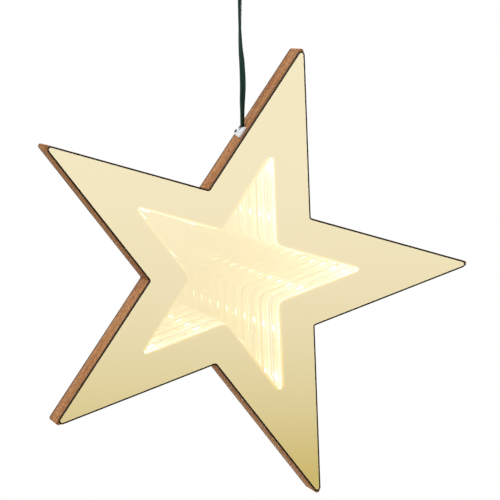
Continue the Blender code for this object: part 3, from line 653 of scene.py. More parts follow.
GOLD_FILM = GoldFilm()
SILVER_FILM = SilverFilm()
FACE_CLEAR = ClearAcrylic("clear back of the gold mirror", "gold_mirror")
BACK_CLEAR = ClearAcrylic("clear front of the back mirror", "back_mirror")
CUT_EDGE = CutEdge()
TINTED_EDGE = CutEdge("tinted edge of the face sheet", "gold_mirror", 0x9A6A3A, 0x6E4826)
STAINED_EDGE = CutEdge("stained edge of the back sheet", "back_mirror", 0x5E3C22, 0x442A16)
# Screen-printed black border on the acrylic's back: what hides the frame
BORDER_PRINT = Plastic(
    "black printed border", "gold_mirror", 0x0C0B09, 0x050504, roughness=0.6, ior=1.5, skin_mm=0.6
)
MIRROR_PAINT = MirrorPaint()
LIT_WALL = LitWall()
RIM_GLOW = RimGlow()
# The wall's own white ABS, a little darker and without the painted glow: painted shade where the
# strip's light doesn't reach it
SHADED_WALL = Plastic("white ABS in shade", "white_wall", 0xE3DFD3, 0xD8D3C6, roughness=0.5)
# Solder-masked flexible circuit, with a faint glow as painted light from the chips
STRIP_MASK = Plastic(
    "white circuit strip", "light_strip", 0xEDEAE0, 0xE2DED2, 0.01,
    roughness=0.4, ior=1.5, skin_mm=0.5, glow=0xFFDC82, glow_strength=0.3,
)
# Chip housing, with a faint glow as painted light from its phosphor
CHIP_CASE = Plastic(
    "white chip housing", "light_strip", 0xF2EFE6, 0xE9E5DA, 0.01,
    roughness=0.35, ior=1.6, skin_mm=0.4, glow=0xFFF3D4, glow_strength=0.7,
)
# Silicone with yellow phosphor over the chip, lit
PHOSPHOR = Plastic(
    "lit phosphor gel", "light_strip", 0xFFD45A, 0xFFC63E,
    roughness=0.2, ior=1.41, skin_mm=0.6, glow=0xFFF6DC, glow_strength=20.0,
)
RESISTOR = Plastic(
    "black film resistor", "light_strip", 0x1B1B1D, 0x2A2A2C, roughness=0.4, ior=1.55
)
SOLDER = Metal("tinned solder pad", "light_strip", 0xC9C8C2, 0xA9A7A0)
FRAME_BOARD = StainedBoard()
BLOCK_PINE = RawWood()
TAPE_FOAM = Foam("black foam tape", "foam_tape", 0x1D1D1D, 0x0C0C0C)
PAD_FOAM = Foam("grey foam pad", "hook_foam", 0x9C9C9A, 0x6F6F6D)
ZINC_SCREW = Metal("zinc-plated screw steel", "screw_steel", 0xC4C0B2, 0xA49F90, roughness=0.32)
BLACK_SCREW = Metal("blackened screw steel", "screw_steel", 0x3A3A3C, 0x232325, roughness=0.42)
ANCHOR_ABS = Plastic("white ABS anchor", "anchor_plastic", 0xEEF1F4, 0xE4E8EC, roughness=0.38)
TIE_NYLON = Plastic(
    "natural nylon tie", "tie_plastic", 0xE6E3D8, 0xD9D5C8, roughness=0.45, skin_mm=0.4
)
TERMINAL_NYLON = Plastic(
    "ivory nylon terminal", "terminal_plastic", 0xE2DFD0, 0xD3CFBF, roughness=0.5
)
TERMINAL_METAL = Metal("nickel-plated terminal brass", "terminal_brass", 0xCFCBBE, 0xB1AC9C)
RED_SKIN = Plastic("red PVC wire skin", "red_wire", 0xB02020, 0x8E1818)
BLACK_SKIN = Plastic("black PVC wire skin", "black_wire", 0x202022, 0x141416)
LEAD_SKIN = LeadSkin()
FERRULE_METAL = Metal(
    "crimped aluminium", "ferrule_metal", 0xA3A5A6, 0x828486, 0.02, roughness=0.34, skin_mm=0.4
)
CONNECTOR_PVC = Plastic(
    "dark green moulded PVC", "connector_plastic", 0x15332A, 0x0E261E, 0.03,
    roughness=0.48, skin_mm=0.5,
)
PIN_BRASS = Metal("turned brass pin", "pin_brass", 0xE3C583, 0xC8A55C, roughness=0.24)
HOOK_ABS = Plastic("white ABS hook base", "hook_plastic", 0xF0F0EE, 0xE6E6E3, roughness=0.36)
HOOK_CHROME = Metal(
    "chrome-plated hook wire", "hook_steel", 0xABAEB1, 0x8F9295, 0.003, roughness=0.2, skin_mm=0.8
)
SLEEVE_VINYL = Plastic(
    "clear-white vinyl sleeve", "sleeve_plastic", 0xECEAE2, 0xDFDCD2, roughness=0.4
)


# ---------------------------------------------------------------- plain geometry


def direction(angle: float) -> Vector:
    """The unit vector at an angle in the star's plane."""
    return Vector((math.cos(angle), math.sin(angle)))


def turned_by(vector: Vector, angle: float) -> Vector:
    """A flat vector turned counter-clockwise by an angle in radians."""
    cos, sin = math.cos(angle), math.sin(angle)
    return Vector((vector.x * cos - vector.y * sin, vector.x * sin + vector.y * cos))


def upright(vector: Vector) -> Vector:
    """A vector of the star's plane as one in the world."""
    return Vector((vector.x, 0.0, vector.y))


def at_height(points: Iterable[Vector], height: float) -> list[Vector]:
    """A flat ring of points laid level at a height."""
    return [Vector((point.x, point.y, height)) for point in points]


def facing(axis: Vector, side: Vector) -> Matrix:
    """The rotation that turns a shape's Z to an axis, and its X to a side square to it."""
    return Matrix((side, axis.cross(side), axis)).transposed()


def rounded(
    points: Sequence[Vector], radii: Sequence[float], steps: int = 8, closed: bool = True
) -> list[Vector]:
    """Puts an arc in place of each corner of an outline.

    Args:
        points: the sharp corners.
        radii: one radius for each corner.
        steps: faces in each arc.
        closed: whether the last corner joins the first.

    Returns:
        The outline with its arcs.
    """
    result = []
    for i, point in enumerate(points):
        if not closed and i in (0, len(points) - 1):
            result.append(point)
            continue
        before = (points[i - 1] - point).normalized()
        after = (points[(i + 1) % len(points)] - point).normalized()
        half = before.angle(after) / 2
        centre = point + (before + after).normalized() * (radii[i] / math.sin(half))
        start = point + before * (radii[i] / math.tan(half)) - centre
        end = point + after * (radii[i] / math.tan(half)) - centre
        turn = start.angle_signed(end)
        result += [centre + turned_by(start, -turn * k / steps) for k in range(steps + 1)]
    return result


def distances(points: Sequence[Vector]) -> np.ndarray:
    """How far along a line of points each of them lies, in metres."""
    return np.cumsum([0.0, *[(two - one).length for one, two in zip(points, points[1:])]])


def smooth_route(route: Sequence[Vector], spacing: float) -> list[Vector]:
    """Lays evenly spaced points on a smooth curve through a route.

    Args:
        route: the points that the curve passes.
        spacing: distance from one result to the next, about.

    Returns:
        The points along the curve, both ends with them.
    """
    points = [Vector(point) for point in route]
    ends = [2 * points[0] - points[1], *points, 2 * points[-1] - points[-2]]
    fine, pieces = [], 24
    for a, b, c, d in zip(ends, ends[1:], ends[2:], ends[3:]):
        for step in range(pieces):
            t = step / pieces
            bend = (2 * a - 5 * b + 4 * c - d) * t**2 + (3 * b - a - 3 * c + d) * t**3
            fine.append((2 * b + (c - a) * t + bend) / 2)
    fine.append(points[-1])
    lengths = distances(fine)
    goals = np.linspace(0.0, lengths[-1], max(2, round(lengths[-1] / spacing)) + 1)
    columns = [np.interp(goals, lengths, [p[axis] for p in fine]) for axis in range(3)]
    return [Vector(point) for point in zip(*columns)]


def put(name: str, data: bpy.types.ID) -> Piece:
    """Puts a new object in the scene.

    Args:
        name: the object's name.
        data: its mesh, camera or lamp.

    Returns:
        The object.
    """
    obj = bpy.data.objects.new(name, data)
    bpy.context.collection.objects.link(obj)
    return obj


def piece_from(name: str, shape: bmesh.types.BMesh, angle: float = PIECE_ANGLE) -> Piece:
    """Turns a bmesh into a piece with its faces pointing out, flat ends and smooth round sides.

    Args:
        name: the piece's name.
        shape: the mesh, which is used up.
        angle: edges sharper than this many degrees stay sharp.

    Returns:
        The new object.
    """
    bmesh.ops.recalc_face_normals(shape, faces=shape.faces)
    mesh = bpy.data.meshes.new(name)
    shape.to_mesh(mesh)
    shape.free()
    mesh.shade_smooth()
    mesh.set_sharp_from_angle(angle=math.radians(angle))
    flat = {key for face in mesh.polygons if len(face.vertices) > 5 for key in face.edge_keys}
    for edge in mesh.edges:
        edge.use_edge_sharp = edge.use_edge_sharp or edge.key in flat
    return put(name, mesh)


def loft(
    loops: Sequence[Sequence[Vector]], caps: bool = True, finishes: Sequence[int] = ()
) -> bmesh.types.BMesh:
    """Joins equal rings of points into one skin.

    Args:
        loops: the rings. Without caps the last one joins the first.
        caps: whether the two ends are closed.
        finishes: material index of each band, and after them of the first and last cap.

    Returns:
        The new mesh.
    """
    shape = bmesh.new()
    rings = [[shape.verts.new(point) for point in loop] for loop in loops]
    pairs = list(zip(rings, rings[1:]))
    if not caps:
        pairs.append((rings[-1], rings[0]))
    indices = list(finishes) or [0] * (len(pairs) + 2)
    for index, (one, other) in zip(indices, pairs):
        for i in range(len(one)):
            j = (i + 1) % len(one)
            shape.faces.new((one[i], one[j], other[j], other[i])).material_index = index
    if caps:
        for ring, index in zip((rings[0], rings[-1]), indices[len(pairs) :]):
            shape.faces.new(ring).material_index = index
    return shape


def spin(
    profile: Profile, base: Vector, axis: Vector, steps: int = 48, closed: bool = False
) -> bmesh.types.BMesh:
    """Spins a profile about an axis.

    Args:
        profile: pairs of radius and height. A radius of zero closes to a point.
        base: the point on the axis at height zero.
        axis: the way that heights run.
        steps: faces round the axis.
        closed: whether the last ring joins the first.

    Returns:
        The new mesh.
    """
    shape = bmesh.new()
    side = axis.orthogonal().normalized()
    across = axis.cross(side)
    rings = []
    for radius, height in profile:
        ring = []
        for step in range(steps if radius else 1):
            angle = 2 * math.pi * step / steps
            spoke = side * math.cos(angle) + across * math.sin(angle)
            ring.append(shape.verts.new(base + axis * height + spoke * radius))
        rings.append(ring)
    pairs = list(zip(rings, rings[1:]))
    if closed:
        pairs.append((rings[-1], rings[0]))
    for one, other in pairs:
        for i in range(steps):
            j = (i + 1) % steps
            corners = [one[i % len(one)], one[j % len(one)]]
            corners += [other[j % len(other)], other[i % len(other)]]
            shape.faces.new(list(dict.fromkeys(corners)))
    return shape


def eased(profile: Profile, ease: float, closed: bool = False) -> list[tuple[float, ...]]:
    """Rounds the corners of a turned profile, so that its edges catch the light.

    Args:
        profile: pairs of radius and height.
        ease: radius of the rounding, cut down where a side is short.
        closed: whether the profile is a ring.

    Returns:
        The profile with three points for each corner.
    """
    points = [Vector(point) for point in profile]
    result = []
    for i, point in enumerate(points):
        if not closed and i in (0, len(points) - 1):
            result.append(tuple(point))
            continue
        one, two = points[i - 1] - point, points[(i + 1) % len(points)] - point
        reach = min(ease, one.length / 2.5, two.length / 2.5)
        start, end = point + one.normalized() * reach, point + two.normalized() * reach
        result += [tuple(start), tuple((start + end) / 4 + point / 2), tuple(end)]
    return result


def lathe(
    name: str, profile: Profile, base: Vector, axis: Direction, ease: float, closed: bool = False
) -> Piece:
    """Makes a turned piece with eased edges.

    Args:
        name: the piece's name.
        profile: pairs of radius and height.
        base: the point on the axis at height zero.
        axis: the way that heights run.
        ease: rounding of its edges.
        closed: whether the profile is a ring round a bore.

    Returns:
        The new object.
    """
    return piece_from(name, spin(eased(profile, ease, closed), base, axis.vector, closed=closed))


def softened(node: str, width: float, name: str) -> Piece:
    """Copies a CAD node's solid with its flat faces joined and its sharp edges eased.

    Args:
        node: the CAD node.
        width: width of the easing, in metres.
        name: the piece's name.

    Returns:
        The new object, in the node's place.
    """
    shape = bmesh.new()
    shape.from_mesh(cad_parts[node].data)
    for face in shape.faces:
        face.material_index = 0
    bmesh.ops.remove_doubles(shape, verts=shape.verts, dist=1e-6)
    bmesh.ops.dissolve_limit(
        shape, angle_limit=math.radians(1.0), verts=shape.verts, edges=shape.edges
    )
    least = math.radians(PIECE_ANGLE)
    joined = [edge for edge in shape.edges if len(edge.link_faces) == 2]
    sharp = [edge for edge in joined if edge.calc_face_angle(0.0) > least]
    if width > 0:
        bmesh.ops.bevel(
            shape, geom=sharp, offset=width, segments=2, profile=0.5, affect="EDGES",
            clamp_overlap=True,
        )
    return piece_from(name, shape, 50.0)


def sweep(
    name: str, points: Sequence[Vector], section: Sequence[Vector], wides: Sequence[Vector]
) -> Piece:
    """Draws a section along a line, with closed ends.

    Args:
        name: the piece's name.
        points: centres of the rings.
        section: the section's outline, wide and thick.
        wides: for each ring the way that the section's wide side points, about.

    Returns:
        The new object, with a skin attribute of the way along it and round it.
    """
    loops = []
    for i, point in enumerate(points):
        before, after = points[max(i - 1, 0)], points[min(i + 1, len(points) - 1)]
        tangent = (after - before).normalized()
        wide = (wides[i] - tangent * wides[i].dot(tangent)).normalized()
        thick = tangent.cross(wide)
        loops.append([point + wide * p.x + thick * p.y for p in section])
    piece = piece_from(name, loft(loops), 60.0)
    give_vectors(piece, "skin", [(way, p.x, p.y) for way in distances(points) for p in section])
    return piece


def give_vectors(piece: Piece, name: str, vectors: Iterable[Sequence[float]]) -> None:
    """Writes a vector attribute on a piece's points.

    Args:
        piece: the piece.
        name: the attribute's name, which a finish reads.
        vectors: one vector for each point, in the mesh's order.
    """
    layer = piece.data.attributes.new(name, "FLOAT_VECTOR", "POINT")
    layer.data.foreach_set("vector", np.array(list(vectors), np.float32).ravel())


def fit(piece: Piece, body: Body, nodes: Sequence[str], *finishes: Finish) -> Piece:
    """Dresses a piece, hangs it on its body and lets it stand for CAD nodes.

    Args:
        piece: the piece, in place. One from Geometry Nodes has its material already.
        body: the rigid body that it moves with.
        nodes: the CAD nodes that it replaces.
        finishes: its finishes by material index.

    Returns:
        The same piece.
    """
    if not piece.data.materials:
        for finish in finishes:
            piece.data.materials.append(finish.material())
    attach(piece, body.value)
    if nodes:
        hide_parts(*nodes)
    LOG.info("%s rides on %s, %d faces", piece.name, body.value, len(piece.data.polygons))
    return piece


def dress_node(name: str, finish: Finish) -> None:
    """Gives a CAD node that is carried over its finish, in all its material slots.

    Args:
        name: the node's name.
        finish: the finish for all of it.
    """
    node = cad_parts[name]
    for place in node.material_slots:
        place.material = finish.material()


# ---------------------------------------------------------------- what repeats


@dataclass(frozen=True)
class PointsTree:
    """Geometry Nodes that set one modelled shape on every point of a mesh.

    Each point holds a turn attribute, the shape's rotation there. Spin adds a random turn about
    the shape's own axis, always the same for the same seed.
    """

    name: str = "shape on points"
    inputs: tuple = (
        ("Shape", "Object"),
        ("Size", "Float"),
        ("Spin", "Float"),
        ("Seed", "Int"),
        ("Finish", "Material"),
    )

    def tree(self) -> Tree:
        """Builds the tree once.

        Returns:
            The node group, with its sizes as named inputs.
        """
        made = bpy.data.node_groups.get(self.name)
        if made is not None:
            return made
        tree = bpy.data.node_groups.new(self.name, "GeometryNodeTree")
        for title, kind in (("Geometry", "Geometry"), *self.inputs):
            tree.interface.new_socket(title, in_out="INPUT", socket_type=f"NodeSocket{kind}")
        tree.interface.new_socket("Geometry", in_out="OUTPUT", socket_type="NodeSocketGeometry")
        given = add_node(tree, "NodeGroupInput").outputs
        shape = add_node(tree, "GeometryNodeObjectInfo", {"Object": given["Shape"]})
        turn = add_node(
            tree, "GeometryNodeInputNamedAttribute", {"Name": "turn"}, data_type="FLOAT_VECTOR"
        )
        towards = add_node(
            tree, "FunctionNodeEulerToRotation", {"Euler": turn.outputs["Attribute"]}
        )
        back = add_node(tree, MATHS, {0: given["Spin"], 1: -1.0}, operation="MULTIPLY")
        chance = add_node(
            tree,
            "FunctionNodeRandomValue",
            {"Min": back, "Max": given["Spin"], "Seed": given["Seed"]},
            data_type="FLOAT",
        )
        own = add_node(tree, "ShaderNodeCombineXYZ", {"Z": chance.outputs["Value"]})
        spun = add_node(tree, "FunctionNodeEulerToRotation", {"Euler": own})
        turned = add_node(
            tree,
            "FunctionNodeRotateRotation",
            {"Rotation": towards, "Rotate By": spun},
            rotation_space="LOCAL",
        )
        placed = add_node(
            tree,
            "GeometryNodeInstanceOnPoints",
            {
                "Points": given["Geometry"],
                "Instance": shape.outputs["Geometry"],
                "Rotation": turned,
                "Scale": given["Size"],
            },
        )
        real = add_node(tree, "GeometryNodeRealizeInstances", {"Geometry": placed})
        dressed = add_node(
            tree, "GeometryNodeSetMaterial", {"Geometry": real, "Material": given["Finish"]}
        )
        add_node(tree, "NodeGroupOutput", {"Geometry": dressed})
        return tree

    def run(
        self,
        name: str,
        shape: Piece,
        places: Places,
        finish: Finish,
        spin_angle: float = 0.0,
        seed: int = 1,
    ) -> Piece:
        """Sets the shape on the places and turns the result into a plain mesh.

        Args:
            name: the finished piece's name.
            shape: the modelled shape, about its own origin. It is removed.
            places: where each one sits, and its rotation.
            finish: the finish of them all.
            spin_angle: most random turn about the shape's own Z, in radians.
            seed: seed of that turn.

        Returns:
            The plain piece.
        """
        points = bpy.data.meshes.new(f"{name}_points")
        points.from_pydata([place for place, _ in places], [], [])
        carrier = put(f"{name}_points", points)
        give_vectors(carrier, "turn", [tuple(turn.to_euler()) for _, turn in places])
        modifier = carrier.modifiers.new(self.name, "NODES")
        modifier.node_group = self.tree()
        values = dict(zip(dict(self.inputs), (shape, 1.0, spin_angle, seed, finish.material())))
        for item in modifier.node_group.interface.items_tree:
            if item.in_out == "INPUT" and item.name in values:
                modifier[item.identifier] = values[item.name]
        graph = bpy.context.evaluated_depsgraph_get()
        mesh = bpy.data.meshes.new_from_object(
            carrier.evaluated_get(graph), preserve_all_data_layers=True, depsgraph=graph
        )
        carrier.modifiers.remove(modifier)
        for used in (carrier, shape):
            bpy.data.objects.remove(used, do_unlink=True)
        mesh.name = name
        mesh.shade_smooth()
        mesh.set_sharp_from_angle(angle=math.radians(PIECE_ANGLE))
        return put(name, mesh)


ON_POINTS = PointsTree()


# ---------------------------------------------------------------- the star's plan


@dataclass(frozen=True)
class StarPlan:
    """The star's outlines in its own plane, which all its pieces follow."""

    radius: float = 0.1645
    top_arm_deg: float = 74.2
    drop: float = 0.3138
    lead_inset: float = 0.0179
    border: float = 0.024
    rail_thickness: float = 0.006
    rail_depth: float = 0.0275
    face_thickness: float = 0.003
    tape_thickness: float = 0.0006
    back_thickness: float = 0.003
    notch_round: float = 0.0012
    cavity_tip_round: float = 0.0012
    cavity_notch_round: float = 0.007
    entry_along: float = 0.0482

    @property
    def window(self) -> float:
        """Centre to the lit cavity's sharp tip."""
        return self.radius - self.border / SIN_18

    @property
    def rail_back(self) -> float:
        """Depth of the rails' back edge behind the face's front."""
        return self.face_thickness + self.tape_thickness + 2 * GAP + self.rail_depth

    @property
    def mirror_back(self) -> float:
        """Depth of the back mirror's painted side."""
        return self.rail_back + GAP + self.back_thickness

    @property
    def centre(self) -> Vector:
        """The middle of the star's face, in the world."""
        return self.place(Vector((0.0, 0.0)), 0.0)

    @property
    def entry(self) -> Vector:
        """Where the lead meets the top arm's left rail, in the world."""
        corner, along, _ = self.rail_side(0, 1)
        return self.place(corner + along * self.entry_along, self.lead_inset)

    @property
    def slit(self) -> float:
        """The way along the top arm's left rail to the slit in the wall for the lead."""
        notch_gap = (self.radius - self.window) * NOTCH_SHARE
        return FIRST_CHIP + CHIP_PITCH / 2 - notch_gap * math.cos(math.radians(54))

    def corner(self, index: int) -> Vector:
        """The direction of corner 0 to 9: even ones are tips, odd ones are inner corners."""
        return direction(math.radians(self.top_arm_deg + 36.0 * index))

    def corners(self, radius: float) -> list[Vector]:
        """The ten sharp corners of a star of a radius, counter-clockwise from the top tip."""
        return [self.corner(i) * (radius * (NOTCH_SHARE if i % 2 else 1.0)) for i in range(10)]

    def outline(self, tip_round: float, inset: float = 0.0) -> list[Vector]:
        """The star's outline with rounded corners.

        Args:
            tip_round: radius at the tips before the inset.
            inset: how far the sides are drawn in, staying parallel.

        Returns:
            The outline's points.
        """
        radii = [self.notch_round + inset if i % 2 else tip_round - inset for i in range(10)]
        return rounded(self.corners(self.radius - inset / SIN_18), radii)

    def cavity(self, inset: float, tip_round: float | None = None) -> list[Vector]:
        """The lit cavity's outline.

        Args:
            inset: how far its sides are drawn in. A negative one draws them out.
            tip_round: radius at the tips, where it isn't the cavity's own.

        Returns:
            The outline's points.
        """
        tip = self.cavity_tip_round if tip_round is None else tip_round
        radii = [self.cavity_notch_round + inset if i % 2 else tip for i in range(10)]
        return rounded(self.corners(self.window - inset / SIN_18), radii)

    def place(self, point: Vector, depth: float) -> Vector:
        """World position of a point in the star's plane at a depth behind the face's front."""
        return Vector((point.x, depth - self.lead_inset, point.y - self.drop))

    def layer(self, points: Iterable[Vector], depth: float) -> list[Vector]:
        """An outline in the world at a depth."""
        return [self.place(point, depth) for point in points]

    def sides(self) -> Iterator[tuple[Vector, Vector, Vector]]:
        """Goes round the sides of the cavity, two to an arm.

        Yields:
            Each side's inner corner, its direction and the way into the cavity.
        """
        corners = self.corners(self.window)
        for arm in range(5):
            for side in (1, -1):
                start = corners[(2 * arm + side) % 10]
                along = (corners[2 * arm] - start).normalized()
                yield start, along, turned_by(along, -side * math.pi / 2)

    def wall_place(self, point: Vector) -> tuple[float, float]:
        """Where a point of the wall lies on its nearest side.

        Args:
            point: the point in the star's plane.

        Returns:
            The way along the side from its inner corner, and the way outwards from it.
        """
        length = self.window * math.tan(math.radians(36))
        found = []
        for start, along, inwards in self.sides():
            way = (point - start).dot(along)
            miss = (point - start - along * min(max(way, 0.0), length)).length
            found.append((miss, way, -(point - start).dot(inwards)))
        return min(found, key=lambda side: side[0])[1:]

    def rail_side(self, tip: int, side: int) -> tuple[Vector, Vector, Vector]:
        """One side of the frame.

        Args:
            tip: the even corner that it runs to.
            side: 1 or -1, the side of that arm.

        Returns:
            Its inner corner, its direction and the way out of its face.
        """
        corner = self.corner(tip + side) * (self.radius * NOTCH_SHARE)
        along = (self.corner(tip) * self.radius - corner).normalized()
        return corner, along, turned_by(along, side * math.pi / 2)


PLAN = StarPlan()
# Each arm's name, its rail counter-clockwise and the other one
ARMS = (
    ("top", "left", "right"),
    ("left", "lower", "upper"),
    ("lower_left", "lower", "upper"),
    ("bottom", "right", "left"),
    ("right", "upper", "lower"),
)


# ---------------------------------------------------------------- studio


@dataclass(frozen=True)
class Studio:
    """Camera at the photograph's viewing angle, soft lamps, white surround and pale floor."""

    azimuth_deg: float = -11.4
    elevation_deg: float = 3.8
    distance: float = 2.4
    frame_px: float = 500.0
    focal_px: float = 3522.5
    aim_px: tuple[float, float] = (240.2, 275.9)
    sensor_mm: float = 36.0
    floor_drop: float = 0.80
    floor_radius: float = 1.6
    floor_thickness: float = 0.01
    surround_low: int = 0xD5CA94
    surround_high: int = 0xFFFFFF
    low_tilt: float = -0.129
    shade_up: float = 0.42
    shade_down: float = 0.08
    mirror_bounces: int = 32
    diffuse_bounces: int = 3
    clear_bounces: int = 64
    # Name, place, side in metres and power in watts of each lamp
    lamps: tuple = (
        ("key_lamp", (-1.75, -1.1, 1.8), 1.2, 54.0),
        ("back_lamp", (0.8, 2.3, -0.5), 1.4, 34.0),
    )

    def axes(self) -> tuple[Vector, Vector, Vector]:
        """The camera's right, up and backward directions.

        Returns:
            Three unit vectors, square to each other.
        """
        turn, tilt = math.radians(self.azimuth_deg), math.radians(self.elevation_deg)
        back = Vector(
            (math.sin(turn) * math.cos(tilt), -math.cos(turn) * math.cos(tilt), math.sin(tilt))
        )
        right = Vector((math.cos(turn), math.sin(turn), 0.0))
        return right, back.cross(right), back

    def camera(self) -> None:
        """Sets the camera so that the star's centre falls where the photograph has it."""
        right, up, back = self.axes()
        metres_per_px = self.distance / self.focal_px
        x, y = ((px - self.frame_px / 2) * metres_per_px for px in self.aim_px)
        target = PLAN.centre - right * x + up * y
        data = bpy.data.cameras.new("photo_camera")
        data.sensor_width = self.sensor_mm
        data.lens = self.focal_px * self.sensor_mm / self.frame_px
        data.clip_end = 50.0
        camera = put("photo_camera", data)
        rotation = Matrix((right, up, back)).transposed()
        camera.matrix_world = Matrix.Translation(target + back * self.distance) @ rotation.to_4x4()
        bpy.context.scene.camera = camera

    def world(self) -> None:
        """White behind the object, a warmer floor side in mirrors, plain soft light elsewhere."""
        world = bpy.data.worlds.new("studio_surround")
        world.use_nodes = True
        bpy.context.scene.world = world
        tree = world.node_tree
        tree.nodes.clear()
        ray = add_node(tree, "ShaderNodeLightPath").outputs
        way = add_node(tree, "ShaderNodeTexCoord").outputs["Generated"]
        tilt = add_node(tree, "ShaderNodeSeparateXYZ", {0: way}).outputs["Z"]
        below = add_node(tree, RANGE, {"Value": tilt} | span(1.0, 0.0, self.low_tilt, 0.0))
        nearer = add_node(tree, MATHS, {0: below, 1: 3.0}, operation="POWER")
        mirrored = tint(tree, nearer, self.surround_high, self.surround_low)
        limits = span(self.shade_down, self.shade_up, -0.6, 0.5)
        soft = add_node(tree, RANGE, {"Value": tilt} | limits)
        shade = add_node(tree, "ShaderNodeCombineColor", {0: soft, 1: soft, 2: soft}).outputs[0]
        paths = {0: ray["Is Camera Ray"], 1: ray["Is Transmission Ray"]}
        seen = add_node(tree, MATHS, paths, operation="MAXIMUM")
        lit = tint(tree, ray["Is Glossy Ray"], shade, mirrored)
        colour = tint(tree, seen, lit, 0xFFFFFF)
        glow = add_node(tree, "ShaderNodeBackground", {"Color": colour, "Strength": 1.0})
        add_node(tree, "ShaderNodeOutputWorld", {"Surface": glow})

    def light(self) -> None:
        """Adds the soft square lamps, which look at the star."""
        for name, place, size, power in self.lamps:
            data = bpy.data.lights.new(name, "AREA")
            data.size = size
            data.energy = power
            lamp = put(name, data)
            aim = PLAN.centre - Vector(place)
            lamp.rotation_euler = aim.to_track_quat("-Z", "Y").to_euler()
            lamp.location = place

    def floor(self) -> None:
        """A round pale floor well below the star, outside the camera's view."""
        top = Vector((0.0, 0.0, PLAN.centre.z - self.floor_drop))
        rim, low = self.floor_radius, -self.floor_thickness
        profile = [(0.0, 0.0), (rim, 0.0), (rim, low), (0.0, low)]
        floor = piece_from("studio_floor", spin(profile, top, Direction.UP.vector, steps=96))
        floor.data.materials.append(StudioFloor().material())

    def view(self) -> None:
        """Plain colour handling, and enough bounces for the mirrors facing each other."""
        scene = bpy.context.scene
        scene.view_settings.view_transform = "Standard"
        scene.cycles.max_bounces = self.mirror_bounces
        scene.cycles.glossy_bounces = self.mirror_bounces
        scene.cycles.diffuse_bounces = self.diffuse_bounces
        scene.cycles.transparent_max_bounces = self.clear_bounces

    def build(self) -> None:
        """Sets up the whole studio."""
        for step in (self.view, self.camera, self.world, self.light, self.floor):
            step()
        LOG.info("studio is set")


# ---------------------------------------------------------------- lead


